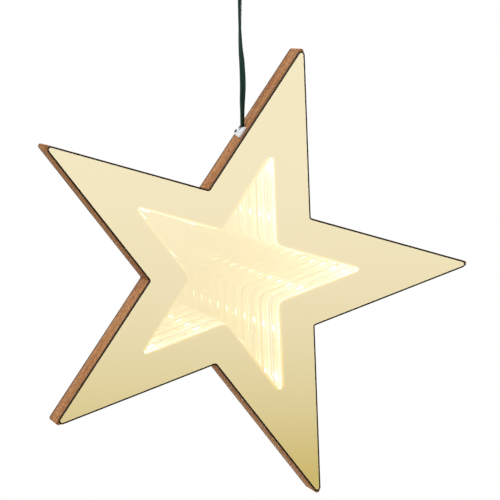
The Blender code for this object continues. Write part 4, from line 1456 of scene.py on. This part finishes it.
@dataclass(frozen=True)
class Lead:
    """The flat twin lead that carries the star: straight drop, loop over the hook, loose end."""

    diameter: float = 0.0041
    thickness: float = 0.0020
    web: float = 0.00078
    core_steps: int = 9
    spacing: float = 0.0016
    drop_end: float = 0.0042
    strand: float = 0.00225
    loop_height: float = 0.030
    hook_depth: float = 0.034
    sleeve_radius: float = 0.0029
    ferrule_height: float = 0.010
    tie_half: float = 0.0036
    below_tie: float = 0.0025
    terminal_half: float = 0.0055
    terminal_height: float = 0.009
    # The free lead's sway to the right, at shares of the way up from the rail to the ferrule
    sways: tuple = (
        (0.06, 0.0001), (0.14, 0.0004), (0.21, 0.0009), (0.31, 0.0006),
        (0.38, -0.0001), (0.47, -0.0004), (0.61, -0.0001), (0.80, 0.0001),
    )
    # How the flat side turns away from the front on the way up, in degrees
    twists: tuple = (
        (0.0, 75.0), (0.0234, 67.0), (0.0936, 54.0), (0.1404, 33.0), (0.2107, 0.0),
        (0.309, -27.6), (0.3839, -62.0), (0.4728, -90.0), (0.6086, -111.0), (0.80, -95.0),
        (1.0, -78.6),
    )
    # Half of the loop from its top down, sideways and downwards, as shares of its height
    loop_shares: tuple = (
        (0.157, 0.023), (0.277, 0.118), (0.327, 0.298), (0.307, 0.465), (0.220, 0.648),
        (0.117, 0.832),
    )
    # The loose end from the foot of the ferrule down to the connector
    tail: tuple = (
        (-0.0009, -0.0050), (-0.0036, -0.0105), (-0.0074, -0.0155), (-0.0100, -0.0200),
        (-0.0110, -0.0245), (-0.0111, -0.0293), (-0.0111, -0.0340),
    )

    @property
    def loop_top(self) -> float:
        """Height of the loop's line over the hook's sleeve."""
        return -self.hook_depth + self.sleeve_radius + GAP + self.diameter / 2

    @property
    def ferrule_foot(self) -> float:
        """Height of the ferrule's lower end."""
        return self.loop_top - self.loop_height - self.ferrule_height

    @property
    def seat_drop(self) -> float:
        """How much lower the flat lead lies than a round one as wide, with room for its edges
        to swing past the sleeve."""
        return (self.diameter - self.thickness) / 2 * 0.75

    def section(self) -> list[Vector]:
        """The outline of the two round cores and the web between them, wide side first.

        Returns:
            The points, from the groove above the web.
        """
        core = self.thickness / 2
        opening, last = math.radians(32), self.core_steps - 1
        left = []
        for step in range(self.core_steps):
            angle = opening + (2 * math.pi - 2 * opening) * step / last
            left.append(Vector((core - self.diameter / 2, 0.0)) + direction(angle) * core)
        right = [-point for point in left]
        return [Vector((0.0, self.web / 2)), *left, Vector((0.0, -self.web / 2)), *right]

    def drop_route(self) -> list[Vector]:
        """The free lead from inside the rail's hole up to the foot of the ferrule.

        Returns:
            The points that the drop passes.
        """
        entry = PLAN.entry
        start = entry - Vector((0.0, 0.0, self.drop_end))
        end = Vector((self.strand, 0.0, self.ferrule_foot - GAP))
        below = end - Vector((0.0, 0.0, 2 * self.diameter))
        swayed = [entry.lerp(end, share) + Vector((sway, 0.0, 0.0)) for share, sway in self.sways]
        return [start, entry, *swayed, below, end]

    def loop_route(self) -> list[Vector]:
        """From the ferrule over the hook, back through the ferrule and down to the connector.

        Returns:
            The points that the loop and the loose end pass.
        """
        right = [
            Vector((self.strand, 0.0, self.ferrule_foot + self.ferrule_height * share))
            for share in (0.0, 0.5, 1.0)
        ]
        top = self.loop_top - self.seat_drop
        height = top - right[-1].z
        for x, z in reversed(self.loop_shares):
            right.append(Vector((x * self.loop_height, 0.0, top - z * height)))
        left = [Vector((-point.x, 0.0, point.z)) for point in right[::-1]]
        loose = [left[-1] + Vector((x, 0.0, z)) for x, z in self.tail]
        return [*right, Vector((0.0, 0.0, top)), *left, *loose]

    def wide_side(self, share: float) -> Vector:
        """The way that the drop's wide side points, at a share of the way up."""
        turn = np.interp(share, *zip(*self.twists))
        return Matrix.Rotation(math.radians(float(turn)), 3, "Z") @ Studio().axes()[0]

    def free(self, name: str) -> tuple[Piece, list[Vector]]:
        """One of the two free stretches.

        Args:
            name: lead_drop, twisted as the photograph shows it, or lead_loop, with its flat
                side on the sleeve.

        Returns:
            The piece and the line that it follows.
        """
        if name == "lead_drop":
            points = smooth_route(self.drop_route(), self.spacing)
            low, high = PLAN.entry.z, self.ferrule_foot
            wides = [self.wide_side((point.z - low) / (high - low)) for point in points]
        else:
            points = smooth_route(self.loop_route(), self.spacing)
            wides = [Direction.BACK.vector] * len(points)
        return sweep(f"{name}_skin", points, self.section(), wides), points

    def inner(self) -> None:
        """The lead's end inside the frame, from the rail's hole to the terminal block."""
        corner, along, outwards = PLAN.rail_side(0, 1)
        slope = math.atan2(along.y, along.x)
        tie_top = (PLAN.rail_thickness + GAP) / math.cos(slope) + self.tie_half * math.tan(slope)
        foot = tie_top + self.below_tie
        depths = (self.drop_end + GAP, tie_top, foot, foot + self.diameter / 4)
        route = [PLAN.entry - Vector((0.0, 0.0, depth)) for depth in depths]
        height = PLAN.border - WALL - GAP - self.terminal_height * 0.7
        for step in (self.diameter, 0.0):
            way = PLAN.slit + self.terminal_half + GAP + step
            flat = corner + along * way - outwards * height
            route.append(PLAN.place(flat, PLAN.lead_inset))
        points = smooth_route(route, self.spacing)
        first = self.wide_side(0.0)
        last = Direction.BACK.vector if first.y > 0 else Direction.FRONT.vector
        shares = np.clip(np.linspace(-0.3, 1.3, len(points)), 0.0, 1.0)
        wides = [first.lerp(last, float(share)) for share in shares]
        piece = sweep("lead_inner_skin", points, self.section(), wides)
        fit(piece, Body.STAR, ["lead_inner"], LEAD_SKIN)

    def build(self, fittings: dict[str, list[Piece]]) -> None:
        """Makes the lead: its two free stretches and its end inside the frame.

        Args:
            fittings: the pieces on each stretch's far end, by its CAD node. Not used.
        """
        for name, start, far_end, lay in (
            ("lead_drop", PLAN.entry, "fitting", "taut"),
            ("lead_loop", self.loop_route()[0], "connector", "hanging"),
        ):
            piece, points = self.free(name)
            fit(piece, Body.LEAD, [name], LEAD_SKIN)
        self.inner()


LEAD = Lead()


@dataclass(frozen=True)
class Ferrule:
    """Crimped double sleeve that closes the loop round both strands."""

    wall: float = 0.0012
    pinch: float = 0.0008
    lip: float = 0.0002
    crimps: int = 2
    steps: int = 20
    end_steps: int = 12

    def ring(self, radius: float, share: float) -> list[Vector]:
        """Two half circles joined by straight sides, round both strands.

        Args:
            radius: radius of the half circles.
            share: height of the ring, as a share of the ferrule's.

        Returns:
            The ring's points.
        """
        points = []
        for side in (1, -1):
            for step in range(self.end_steps + 1):
                angle = math.pi * step / self.end_steps - math.pi / 2
                spoke = direction(angle) * (side * radius)
                points.append(Vector((side * LEAD.strand, 0.0)) + spoke)
        return at_height(points, LEAD.ferrule_foot + LEAD.ferrule_height * share)

    def build(self) -> Piece:
        """Makes the sleeve, pressed in at its crimps.

        Returns:
            The finished piece.
        """
        bore = LEAD.diameter / 2 + GAP / 2
        loops = []
        for step in range(self.steps + 1):
            share = step / self.steps
            press = abs(math.sin(math.pi * self.crimps * share)) ** 2 * self.pinch
            lip = self.lip if step in (0, self.steps) else 0.0
            loops.append(self.ring(bore + self.wall + GAP / 2 - press - lip, share))
        loops += [self.ring(bore, 1.0), self.ring(bore, 0.0)]
        piece = piece_from("loop_ferrule_crimped", loft(loops, caps=False))
        return fit(piece, Body.LEAD, ["loop_ferrule"], FERRULE_METAL)


@dataclass(frozen=True)
class Connector:
    """Two-pin low-voltage connector on the lead's loose end, with its turning ribbed cap."""

    relief_length: float = 0.009
    relief_wall: float = 0.0008
    relief_taper: float = 0.0009
    relief_swell: float = 0.0001
    groove: float = 0.0004
    grooves: int = 5
    radius: float = 0.0046
    length: float = 0.0135
    body_ease: float = 0.0004
    mouth: float = 0.0006
    mouth_depth: float = 0.0004
    collar_radius: float = 0.0053
    collar_height: float = 0.0012
    collar_drop: float = 0.0062
    pin_radius: float = 0.0008
    pin_length: float = 0.005
    pin_offset: float = 0.0018
    pin_dome: tuple = (0.0006, 0.0001)  # where the tip begins to round, and its flat end
    cap_radius: float = 0.0068
    cap_wall: float = 0.0012
    cap_length: float = 0.0125
    cap_ease: float = 0.0003
    rib: float = 0.0004
    ribs: int = 24
    rib_margin: float = 0.0011
    rib_end: float = 0.0004
    rib_sink: float = 0.00003

    @property
    def end(self) -> Vector:
        """Where the lead enters the connector."""
        return LEAD.loop_route()[-1]

    def relief(self) -> Piece:
        """Makes the tapered strain relief with its flexing grooves.

        Returns:
            The finished piece.
        """
        bore, pitch = LEAD.diameter / 2 + GAP, self.relief_length / self.grooves
        profile = [(bore, 0.0)]
        for step in range(self.grooves):
            share = step / self.grooves
            wide = bore + self.relief_wall + self.relief_taper * share
            start = self.relief_length * share
            profile += [(wide, start), (wide + self.relief_swell, start + pitch * 0.62)]
            profile += [(wide - self.groove, start + pitch * part) for part in (0.7, 0.94)]
        end = self.relief_length
        profile += [(bore + self.relief_wall + self.relief_taper, end), (bore, end)]
        top = self.end + Vector((0.0, 0.0, end))
        name = "connector_relief_grooved"
        piece = lathe(name, profile, top, Direction.DOWN, FINE_EASE, closed=True)
        return fit(piece, Body.LEAD, ["connector_relief"], CONNECTOR_PVC)

    def shell(self) -> Piece:
        """Makes the moulded body with its collar.

        Returns:
            The finished piece.
        """
        start, end = self.collar_drop, self.collar_drop + self.collar_height
        inner, floor = self.radius - self.mouth, self.length - self.mouth_depth
        profile = [
            (0.0, 0.0), (self.radius, 0.0), (self.radius, start), (self.collar_radius, start),
            (self.collar_radius, end), (self.radius, end), (self.radius, self.length),
            (inner, self.length), (inner, floor), (0.0, floor),
        ]
        top = self.end - Vector((0.0, 0.0, GAP))
        piece = lathe("connector_body_moulded", profile, top, Direction.DOWN, self.body_ease)
        return fit(piece, Body.LEAD, ["connector_body"], CONNECTOR_PVC)

    def pins(self) -> list[Piece]:
        """Makes the two pins, with rounded tips.

        Returns:
            The finished pieces, left one first.
        """
        wide, end = self.pin_radius, self.pin_length
        start, flat = (end - step for step in self.pin_dome)
        tip = [(wide, start), (wide * 0.55, flat), (0.0, end)]
        profile = [(0.0, 0.0), (wide, 0.0), *tip]
        made = []
        for side, word in ((-1, "left"), (1, "right")):
            base = self.end + Vector((side * self.pin_offset, 0.0, -2 * GAP - self.length))
            piece = lathe(f"{word}_pin_turned", profile, base, Direction.DOWN, FINE_EASE)
            made.append(fit(piece, Body.LEAD, [f"{word}_connector_pin"], PIN_BRASS))
        return made

    def cap(self) -> None:
        """The cap's turned shell, and its ribs set round it by Geometry Nodes."""
        top = self.end - Vector((0.0, 0.0, GAP))
        lip, bore = self.radius + GAP, self.cap_radius - self.cap_wall
        wide = self.cap_radius - self.rib
        start = self.collar_drop - GAP - self.cap_wall
        end, step = start + self.cap_length, start + self.cap_wall
        profile = [(lip, start), (wide, start), (wide, end), (bore, end), (bore, step), (lip, step)]
        shell = lathe("cap_shell", profile, top, Direction.DOWN, self.cap_ease, closed=True)
        length = self.cap_length - 2 * self.rib_margin
        loops = []
        low, high = self.rib_end, length - self.rib_end
        for height, size in ((0.0, 0.3), (low, 1.0), (high, 1.0), (length, 0.3)):
            arc = [direction(math.pi * (k / 6 - 0.5)) * (self.rib * size) for k in range(7)]
            loops.append([Vector((p.x, p.y * 1.1, height)) for p in arc])
        places = []
        for turn in range(self.ribs):
            outwards = direction(2 * math.pi * turn / self.ribs).to_3d()
            place = top + outwards * (wide - self.rib_sink)
            place.z -= end - self.rib_margin
            places.append((place, facing(Direction.UP.vector, outwards)))
        shape = piece_from("cap_rib_shape", loft(loops))
        ribs = ON_POINTS.run("cap_ribs", shape, places, CONNECTOR_PVC)
        fit(ribs, Body.CAP, [], CONNECTOR_PVC)
        fit(shell, Body.CAP, ["connector_cap"], CONNECTOR_PVC)

    def build(self) -> list[Piece]:
        """Makes the connector.

        Returns:
            Its pieces that ride on the lead.
        """
        pieces = [self.relief(), self.shell(), *self.pins()]
        self.cap()
        return pieces


# ---------------------------------------------------------------- ceiling hook


@dataclass(frozen=True)
class Hook:
    """Stick-on ceiling hook: foam pad, moulded base, nut, bent wire and its rolling sleeve."""

    pad_thickness: float = 0.001
    pad_radius: float = 0.016
    pad_round: float = 0.0002
    base_radius: float = 0.017
    base_height: float = 0.008
    base_rim: float = 0.0016
    base_ease: float = 0.0005
    recess_radius: float = 0.0045
    recess_depth: float = 0.0042
    # The base's underside out to its shoulder, as radius and height above its foot
    underside: tuple = (
        (0.0042, 0.0), (0.0042, 0.0006), (0.0068, 0.0006), (0.0074, 0.0), (0.0125, 0.0002),
        (0.0158, 0.0022), (0.0168, 0.0046),
    )
    nut_ease: float = 0.00025
    wire: float = 0.0035
    wire_steps: int = 24
    wire_spacing: float = 0.0012
    depth: float = 0.034
    reach: float = 0.0095
    shank: float = 0.0155
    shoulder: float = 0.0215
    tip: float = 0.0235
    bends: tuple = (0.0, 0.0035, 0.004, 0.0055, 0.0055, 0.0)
    sleeve_half: float = 0.0035
    sleeve_radius: float = 0.0029
    sleeve_round: float = 0.00015
    sleeve_chamfer: float = 0.0004

    def turned(self) -> None:
        """The pad, a little soft at its rim, and the base with a soft shoulder, a stepped rim
        and a recess for the nut."""
        low, rim = -self.pad_thickness, self.pad_radius - self.pad_round
        pad = [(0.0, low), (rim, low), (self.pad_radius, low / 2), (rim, 0.0), (0.0, 0.0)]
        top = -self.pad_thickness - GAP
        foot, floor = top - self.base_height, top - self.recess_depth
        bore, wide, hole = self.wire / 2 + GAP, self.base_radius, self.recess_radius
        base = [(bore, foot), *((radius, foot + height) for radius, height in self.underside)]
        base += [(wide, top - self.base_rim), (wide, top), (hole, top), (hole, floor)]
        base.append((bore, floor))
        piece = lathe("hook_pad_foam", pad, Vector(), Direction.UP, FINE_EASE)
        fit(piece, Body.HOOK, ["hook_pad"], PAD_FOAM)
        name, ease = "hook_base_moulded", self.base_ease
        piece = lathe(name, base, Vector(), Direction.UP, ease, closed=True)
        fit(piece, Body.HOOK, ["hook_base"], HOOK_ABS)

    def nut(self) -> None:
        """Hexagonal nut with eased corners."""
        piece = softened("hook_nut", self.nut_ease, "hook_nut_piece")
        fit(piece, Body.HOOK, ["hook_nut"], ZINC_SCREW)

    def bent_wire(self) -> None:
        """Chromed wire, round and smooth."""
        corners = (
            (0.0, -self.pad_thickness - 2 * GAP), (0.0, -self.shank),
            (self.reach, -self.shoulder), (self.reach, -self.depth),
            (-self.reach, -self.depth), (-self.reach, -self.tip),
        )
        bent = rounded([Vector(corner) for corner in corners], self.bends, 10, closed=False)
        line = [Vector((0.0, p.x, p.y)) for p in bent]
        points = [line[0]]
        for point in line[1:]:
            start = points[-1]
            count = max(1, round((point - start).length / self.wire_spacing))
            points += [start.lerp(point, (k + 1) / count) for k in range(count)]
        turns = [2 * math.pi * k / self.wire_steps for k in range(self.wire_steps)]
        section = [direction(turn) * (self.wire / 2) for turn in turns]
        wides = [Direction.RIGHT.vector] * len(points)
        piece = sweep("hook_wire_chromed", points, section, wides)
        fit(piece, Body.HOOK, ["hook_wire"], HOOK_CHROME)

    def sleeve(self) -> None:
        """Short sleeve, with chamfered ends, that rolls on the hook's level stretch."""
        bore, end, wide = self.wire / 2 + GAP, self.sleeve_half, self.sleeve_radius
        rim, step = end - self.sleeve_chamfer, wide - self.sleeve_round
        profile = [(bore, -end), (step, -end), (wide, -rim), (wide, rim), (step, end), (bore, end)]
        base = Vector((0.0, 0.0, -self.depth))
        piece = lathe("hook_sleeve_vinyl", profile, base, Direction.BACK, FINE_EASE, closed=True)
        fit(piece, Body.SLEEVE, ["hook_sleeve"], SLEEVE_VINYL)

    def build(self) -> None:
        """Makes the hook."""
        for step in (self.turned, self.nut, self.bent_wire, self.sleeve):
            step()


# ---------------------------------------------------------------- star


@dataclass(frozen=True)
class Face:
    """Gold two-way mirror on the front: film outside, clear acrylic, and a black printed border
    on its back, which hides the frame."""

    tip_round: float = 0.0026
    bevel: float = 0.001
    front_ease: float = 0.00003
    back_ease: float = 0.0002
    back_inset: float = 0.00015
    border_gap: float = 0.0016
    border_round: float = 0.0037

    def build(self) -> None:
        """Makes the plate with a chamfer that is eased on both its edges."""
        back = PLAN.face_thickness
        rows = (
            (self.bevel * 1.2, 0.0),
            (self.bevel * 0.95, self.front_ease),
            (self.bevel * 0.1, self.bevel * 0.8),
            (0.0, self.bevel),
            (0.0, back - self.back_ease),
            (self.back_inset, back),
        )
        loops = [PLAN.layer(PLAN.outline(self.tip_round, inset), depth) for inset, depth in rows]
        loops.append(PLAN.layer(PLAN.cavity(-self.border_gap, self.border_round), back))
        shape = loft(loops, finishes=(1, 1, 4, 4, 4, 3, 0, 2))
        finishes = (GOLD_FILM, CUT_EDGE, FACE_CLEAR, BORDER_PRINT, TINTED_EDGE)
        piece = piece_from("front_mirror_plate", shape, 20.0)
        fit(piece, Body.STAR, ["front_mirror"], *finishes)
        dress_node("front_tape", TAPE_FOAM)


@dataclass(frozen=True)
class WoodFrame:
    """Ten mitred rails, five tip blocks and five corner braces, with the grain along each."""

    ease: float = 0.0004

    def member(self, node: str, ending: str, along: Vector, across: Vector, finish: Finish) -> None:
        """One wooden piece with eased edges.

        Args:
            node: the CAD node that it replaces.
            ending: what the piece's name has after the node's.
            along: unit vector along the grain, in the star's plane.
            across: unit vector across it.
            finish: its wood.
        """
        piece = softened(node, self.ease, f"{node}_{ending}")
        long, wide = upright(along), upright(across)
        spots = [vertex.co for vertex in piece.data.vertices]
        give_vectors(piece, "grain", [(p.dot(long), p.dot(wide), p.y) for p in spots])
        fit(piece, Body.STAR, [node], finish)

    def build(self) -> None:
        """Makes the stained rails, then the pine blocks behind them."""
        for arm, (name, first, second) in enumerate(ARMS):
            for side, word in ((1, first), (-1, second)):
                _, along, outwards = PLAN.rail_side(2 * arm, side)
                self.member(f"{name}_arm_{word}_rail", "board", along, outwards, FRAME_BOARD)
        for arm, (name, side, _) in enumerate(ARMS):
            for word, corner in (("tip_block", 2 * arm), (f"{side}_brace", 2 * arm + 1)):
                along = PLAN.corner(corner)
                across = turned_by(along, math.pi / 2)
                self.member(f"{name}_arm_{word}", "pine", along, across, BLOCK_PINE)


@dataclass(frozen=True)
class BackMirror:
    """Plain mirror that closes the back: clear front, silver film inside, painted behind."""

    film_depth: float = 0.0015
    film_thickness: float = 0.0001
    film_reach: float = 0.0035
    block_start: float = 0.004
    block_length: float = 0.026
    block_share: float = 0.62
    head_radius: float = 0.0028
    head_height: float = 0.0016
    # The head's flat top, its rounded rim and its seat: inset from its radius, and depth
    head_rows: tuple = ((0.00035, 0.0), (0.00008, 0.0001), (0.0002, 0.0003))
    shank_radius: float = 0.00125
    screw_length: float = 0.014
    recess: float = 0.0014
    recess_width: float = 0.00036
    recess_depth: float = 0.0011
    recess_lip: float = 0.00002
    steps: int = 32

    def plate(self) -> None:
        """The plate with its screw holes, and the film inside it behind the cavity."""
        piece = softened("back_mirror", 0.0, "back_mirror_plate")
        front = PLAN.centre.y + PLAN.rail_back + GAP
        for face in piece.data.polygons:
            level = abs(face.center.y - front) < 1e-4
            flat = abs(face.normal.y) > 0.9
            face.material_index = (1 if level else 0) if flat else 2
        fit(piece, Body.STAR, ["back_mirror"], MIRROR_PAINT, BACK_CLEAR, STAINED_EDGE)
        depth, outline = PLAN.rail_back + GAP + self.film_depth, PLAN.cavity(-self.film_reach)
        film = loft([PLAN.layer(outline, depth + step) for step in (0.0, self.film_thickness)])
        fit(piece_from("back_mirror_film", film), Body.STAR, [], SILVER_FILM)

    def cross(self, angle: float, size: float) -> float:
        """Radius of the cross recess at an angle.

        Args:
            angle: angle about the screw's axis.
            size: share of the recess's full reach.

        Returns:
            The radius in metres.
        """
        cos, sin = max(abs(math.cos(angle)), 1e-6), max(abs(math.sin(angle)), 1e-6)
        width, reach = self.recess_width, self.recess * size
        return max(min(reach / cos, width / sin), min(reach / sin, width / cos))

    def screw(self) -> Piece:
        """One countersunk screw with a cross recess, head at the origin, looking up.

        Returns:
            The shape to repeat.
        """
        spots = [2 * math.pi * k / self.steps for k in range(self.steps)]
        loops = []
        for size, share, height in (
            (0.55, 0.75, -self.recess_depth),
            (0.8, 1.0, -self.recess_depth * 0.6),
            (1.0, 1.0, -self.recess_lip),
        ):
            ring = [direction(spot) * (self.cross(spot, size) * share) for spot in spots]
            loops.append(at_height(ring, height))
        for radius, height in (
            *((self.head_radius - inset, -depth) for inset, depth in self.head_rows),
            (self.shank_radius, -self.head_height),
            (self.shank_radius, -self.screw_length),
            (self.shank_radius * 0.2, -self.screw_length - self.shank_radius),
        ):
            loops.append(at_height([direction(spot) * radius for spot in spots], height))
        return piece_from("back_screw_shape", loft(loops))

    def screw_places(self) -> Places:
        """Where the ten screws sit, one on each block's middle line, and the way they look.

        Returns:
            A place and a rotation for each screw.
        """
        apex = PLAN.radius - (PLAN.rail_thickness + GAP) / SIN_18
        outer, inner = apex * NOTCH_SHARE, (PLAN.window + (WALL + GAP) / SIN_18) * NOTCH_SHARE
        along = self.block_start + self.block_length * self.block_share
        turn = facing(Direction.BACK.vector, Direction.RIGHT.vector)
        reaches = (apex - along, (outer + inner) / 2)
        spots = [PLAN.corner(i) * reaches[i % 2] for i in range(10)]
        return [(PLAN.place(spot, PLAN.mirror_back - GAP), turn) for spot in spots]

    def build(self) -> None:
        """Makes the back mirror and its screws."""
        self.plate()
        places, spin_angle = self.screw_places(), math.pi / 4
        screws = ON_POINTS.run("back_screws", self.screw(), places, ZINC_SCREW, spin_angle, 11)
        nodes = [f"{name}_arm_{word}_screw" for name, _, _ in ARMS for word in ("tip", "brace")]
        fit(screws, Body.STAR, nodes, ZINC_SCREW)


@dataclass(frozen=True)
class LightBox:
    """The lit cavity between the mirrors: white wall, circuit strip, chips and resistors."""

    rebate: float = 0.001
    rebate_depth: float = 0.005
    rim_insets: tuple = (-0.0024, -0.0012, -0.0005)  # rings that round the glowing rim's fall
    slit_width: float = 0.003
    strip_width: float = 0.010
    strip_thickness: float = 0.0006
    strip_centre: float = 0.0166
    chip: float = 0.005
    chip_height: float = 0.0010
    case_steps: int = 32
    case_foot: float = 0.0004
    case_ease: float = 0.0001
    cup_depth: float = 0.0005
    # The gel's foot, the rim of its dome and a ring near its top, below the chip's top
    gel_drops: tuple = (0.0006, 0.0002, 0.00006)
    # Along the strip, across it and up from it
    resistor_size: tuple = (0.002, 0.0012, 0.0005)
    pad_size: tuple = (0.0012, 0.0018, 0.00012)
    pad_reach: float = 0.0028

    def ring(self) -> None:
        """The wall from mirror to mirror, with a rebate at the back mirror."""
        front, back = PLAN.face_thickness + GAP, PLAN.rail_back
        step = back - self.rebate_depth
        # Inset from the cavity's outline, depth, and the finish from there to the next row. The
        # shaded finish on the rebate's flank draws a dark line there as painted shade
        profile = (
            (0.0, front, 0), (0.0, step, 2), (-self.rebate, step, 0), (-self.rebate, back, 2),
            (-WALL, back, 2), (-WALL, front, 1), *((rim, front, 1) for rim in self.rim_insets),
        )
        loops, vectors = [], []
        for inset, depth, _ in profile:
            points = PLAN.cavity(inset)
            loops.append(PLAN.layer(points, depth))
            for along, outwards in map(PLAN.wall_place, points):
                vectors.append((along, depth, outwards))
        shape = loft(loops, caps=False, finishes=[finish for _, _, finish in profile])
        ring = piece_from("light_ring_wall", shape)
        give_vectors(ring, "wall", vectors)
        fit(ring, Body.STAR, ["light_ring"], LIT_WALL, RIM_GLOW, SHADED_WALL)

    def strip(self) -> None:
        """The flexible circuit strip, bent round the wall from one side of the slit round."""
        corner, along, outwards = PLAN.rail_side(0, 1)
        half = self.slit_width / 2 + GAP
        split = 9  # points of the top arm's tip, which come last on the way round
        paths = []
        for inset in (GAP, GAP + self.strip_thickness):
            points = PLAN.cavity(inset)
            first, last = (
                corner + along * (PLAN.slit + side * half) - outwards * (inset + PLAN.border)
                for side in (-1, 1)
            )
            paths.append([first, *points[split:], *points[:split], last])
        front, back = (self.strip_centre + side * self.strip_width / 2 for side in (-1, 1))
        loops = []
        for outer, inner in zip(*paths):
            corners = ((outer, front), (inner, front), (inner, back), (outer, back))
            loops.append([PLAN.place(point, depth) for point, depth in corners])
        piece = piece_from("light_strip_tape", loft(loops))
        fit(piece, Body.STAR, ["led_strip"], STRIP_MASK)

    def on_strip(self, ways: Sequence[float]) -> Places:
        """Places on the strip along every side of the cavity.

        Args:
            ways: distances from each side's inner corner.

        Returns:
            A place and a rotation for each.
        """
        places = []
        for start, along, inwards in PLAN.sides():
            turn = facing(upright(inwards), upright(along))
            for way in ways:
                spot = start + along * way + inwards * (GAP + self.strip_thickness)
                places.append((PLAN.place(spot, self.strip_centre), turn))
        return places

    def chip_case(self) -> Piece:
        """A chip's square housing with a round cup in it.

        Returns:
            The shape to repeat.
        """
        half, top = self.chip / 2, self.chip_height
        spots = [2 * math.pi * (k + 0.5) / self.case_steps for k in range(self.case_steps)]
        loops = []
        for share, height, square in (
            (0.96, 0.0, True),
            (1.0, self.case_foot, True),
            (0.97, top - self.case_ease, True),
            (0.93, top, True),
            (0.80, top, False),
            (0.70, top - self.cup_depth, False),
        ):
            ring = []
            for spot in spots:
                cos, sin = math.cos(spot), math.sin(spot)
                reach = (abs(cos) ** 12 + abs(sin) ** 12) ** (-1 / 12) if square else 1.0
                ring.append(Vector((cos, sin)) * (half * share * reach))
            loops.append(at_height(ring, height))
        return piece_from("chip_case_shape", loft(loops))

    def chip_gel(self) -> Piece:
        """The phosphor gel that fills a chip's cup, slightly domed.

        Returns:
            The shape to repeat.
        """
        radius, top = self.chip / 2 * 0.74, self.chip_height
        foot, rim, dome = (top - drop for drop in self.gel_drops)
        profile = [(0.0, foot), (radius * 0.9, foot), (radius, rim), (radius * 0.6, dome)]
        profile.append((0.0, top))
        return piece_from("chip_gel_shape", spin(profile, Vector(), Direction.UP.vector, 24))

    def block(self, name: str, size: tuple[float, float, float]) -> Piece:
        """A small soldered block with eased edges, on its own foot.

        Args:
            name: the shape's name.
            size: along the strip, across it and up from it.

        Returns:
            The shape to repeat.
        """
        shape = bmesh.new()
        bmesh.ops.create_cube(shape, size=1.0)
        for vertex in shape.verts:
            x, y, z = vertex.co
            vertex.co = Vector((x * size[0], y * size[1], (z + 0.5) * size[2]))
        ease = min(size) * 0.2
        bmesh.ops.bevel(shape, geom=list(shape.edges), offset=ease, segments=1, affect="EDGES")
        return piece_from(name, shape)

    def parts(self) -> None:
        """What is soldered on the strip, each kind set by Geometry Nodes."""
        chips = self.on_strip([FIRST_CHIP, FIRST_CHIP + CHIP_PITCH])
        between = self.on_strip([FIRST_CHIP + CHIP_PITCH * 0.25])
        pads = []
        for place, turn in self.on_strip([FIRST_CHIP + CHIP_PITCH * k for k in (0.46, 0.54)]):
            for side in (-self.pad_reach, self.pad_reach):
                pads.append((place + Vector((0.0, side, 0.0)), turn))
        resistor = self.block("resistor_shape", self.resistor_size)
        pad = self.block("pad_shape", self.pad_size)
        for name, shape, places, finish in (
            ("chip_cases", self.chip_case(), chips, CHIP_CASE),
            ("chip_gels", self.chip_gel(), chips, PHOSPHOR),
            ("resistors", resistor, between, RESISTOR),
            ("solder_pads", pad, pads, SOLDER),
        ):
            fit(ON_POINTS.run(name, shape, places, finish), Body.STAR, [], finish)

    def build(self) -> None:
        """Makes the light box."""
        self.ring()
        self.strip()
        self.parts()


@dataclass(frozen=True)
class Wiring:
    """Terminal block, its screws and wires, the cable tie, and the anchor at the lead's entry."""

    # Each CAD node, the easing of its edges and its finish
    eased_nodes: tuple = (
        ("terminal_block", 0.0004, TERMINAL_NYLON),
        ("positive_terminal_screw", 0.0001, TERMINAL_METAL),
        ("negative_terminal_screw", 0.0001, TERMINAL_METAL),
        ("strain_tie", 0.0002, TIE_NYLON),
        ("cable_anchor", 0.0003, ANCHOR_ABS),
    )
    # The anchor screw's domed head and its shank, as radius and depth
    screw: tuple = (
        (0.0, -0.0001), (0.0005, -0.00005), (0.0009, 0.00008), (0.0011, 0.0003),
        (0.0011, 0.0006), (0.0006, 0.0006), (0.0006, 0.005), (0.0, 0.0053),
    )

    def anchor_screw(self) -> None:
        """The small screw on the anchor plate, its head where the CAD one's is."""
        out = upright(PLAN.rail_side(0, 1)[2])
        spots = [vertex.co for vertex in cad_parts["anchor_screw"].data.vertices]
        middle = sum(spots, Vector()) / len(spots)
        base = middle + out * (max(spot.dot(out) for spot in spots) - middle.dot(out))
        piece = piece_from("anchor_screw_domed", spin(self.screw, base, -out, 24))
        fit(piece, Body.STAR, ["anchor_screw"], BLACK_SCREW)

    def build(self) -> None:
        """Makes what joins the lead to the strip."""
        for node, width, finish in self.eased_nodes:
            fit(softened(node, width, f"{node}_eased"), Body.STAR, [node], finish)
        self.anchor_screw()
        dress_node("positive_wire", RED_SKIN)
        dress_node("negative_wire", BLACK_SKIN)


# ---------------------------------------------------------------- everything


def main() -> None:
    """Builds the lamp: camera and lead first, then the hook and the star."""
    logging.basicConfig(level=logging.INFO, format="%(message)s")
    Studio().build()
    ferrule = Ferrule().build()
    connector = Connector().build()
    LEAD.build({"lead_drop": [ferrule], "lead_loop": connector})
    for part in (Hook(), Face(), WoodFrame(), BackMirror(), LightBox(), Wiring()):
        part.build()


if __name__ == "__main__":
    main()
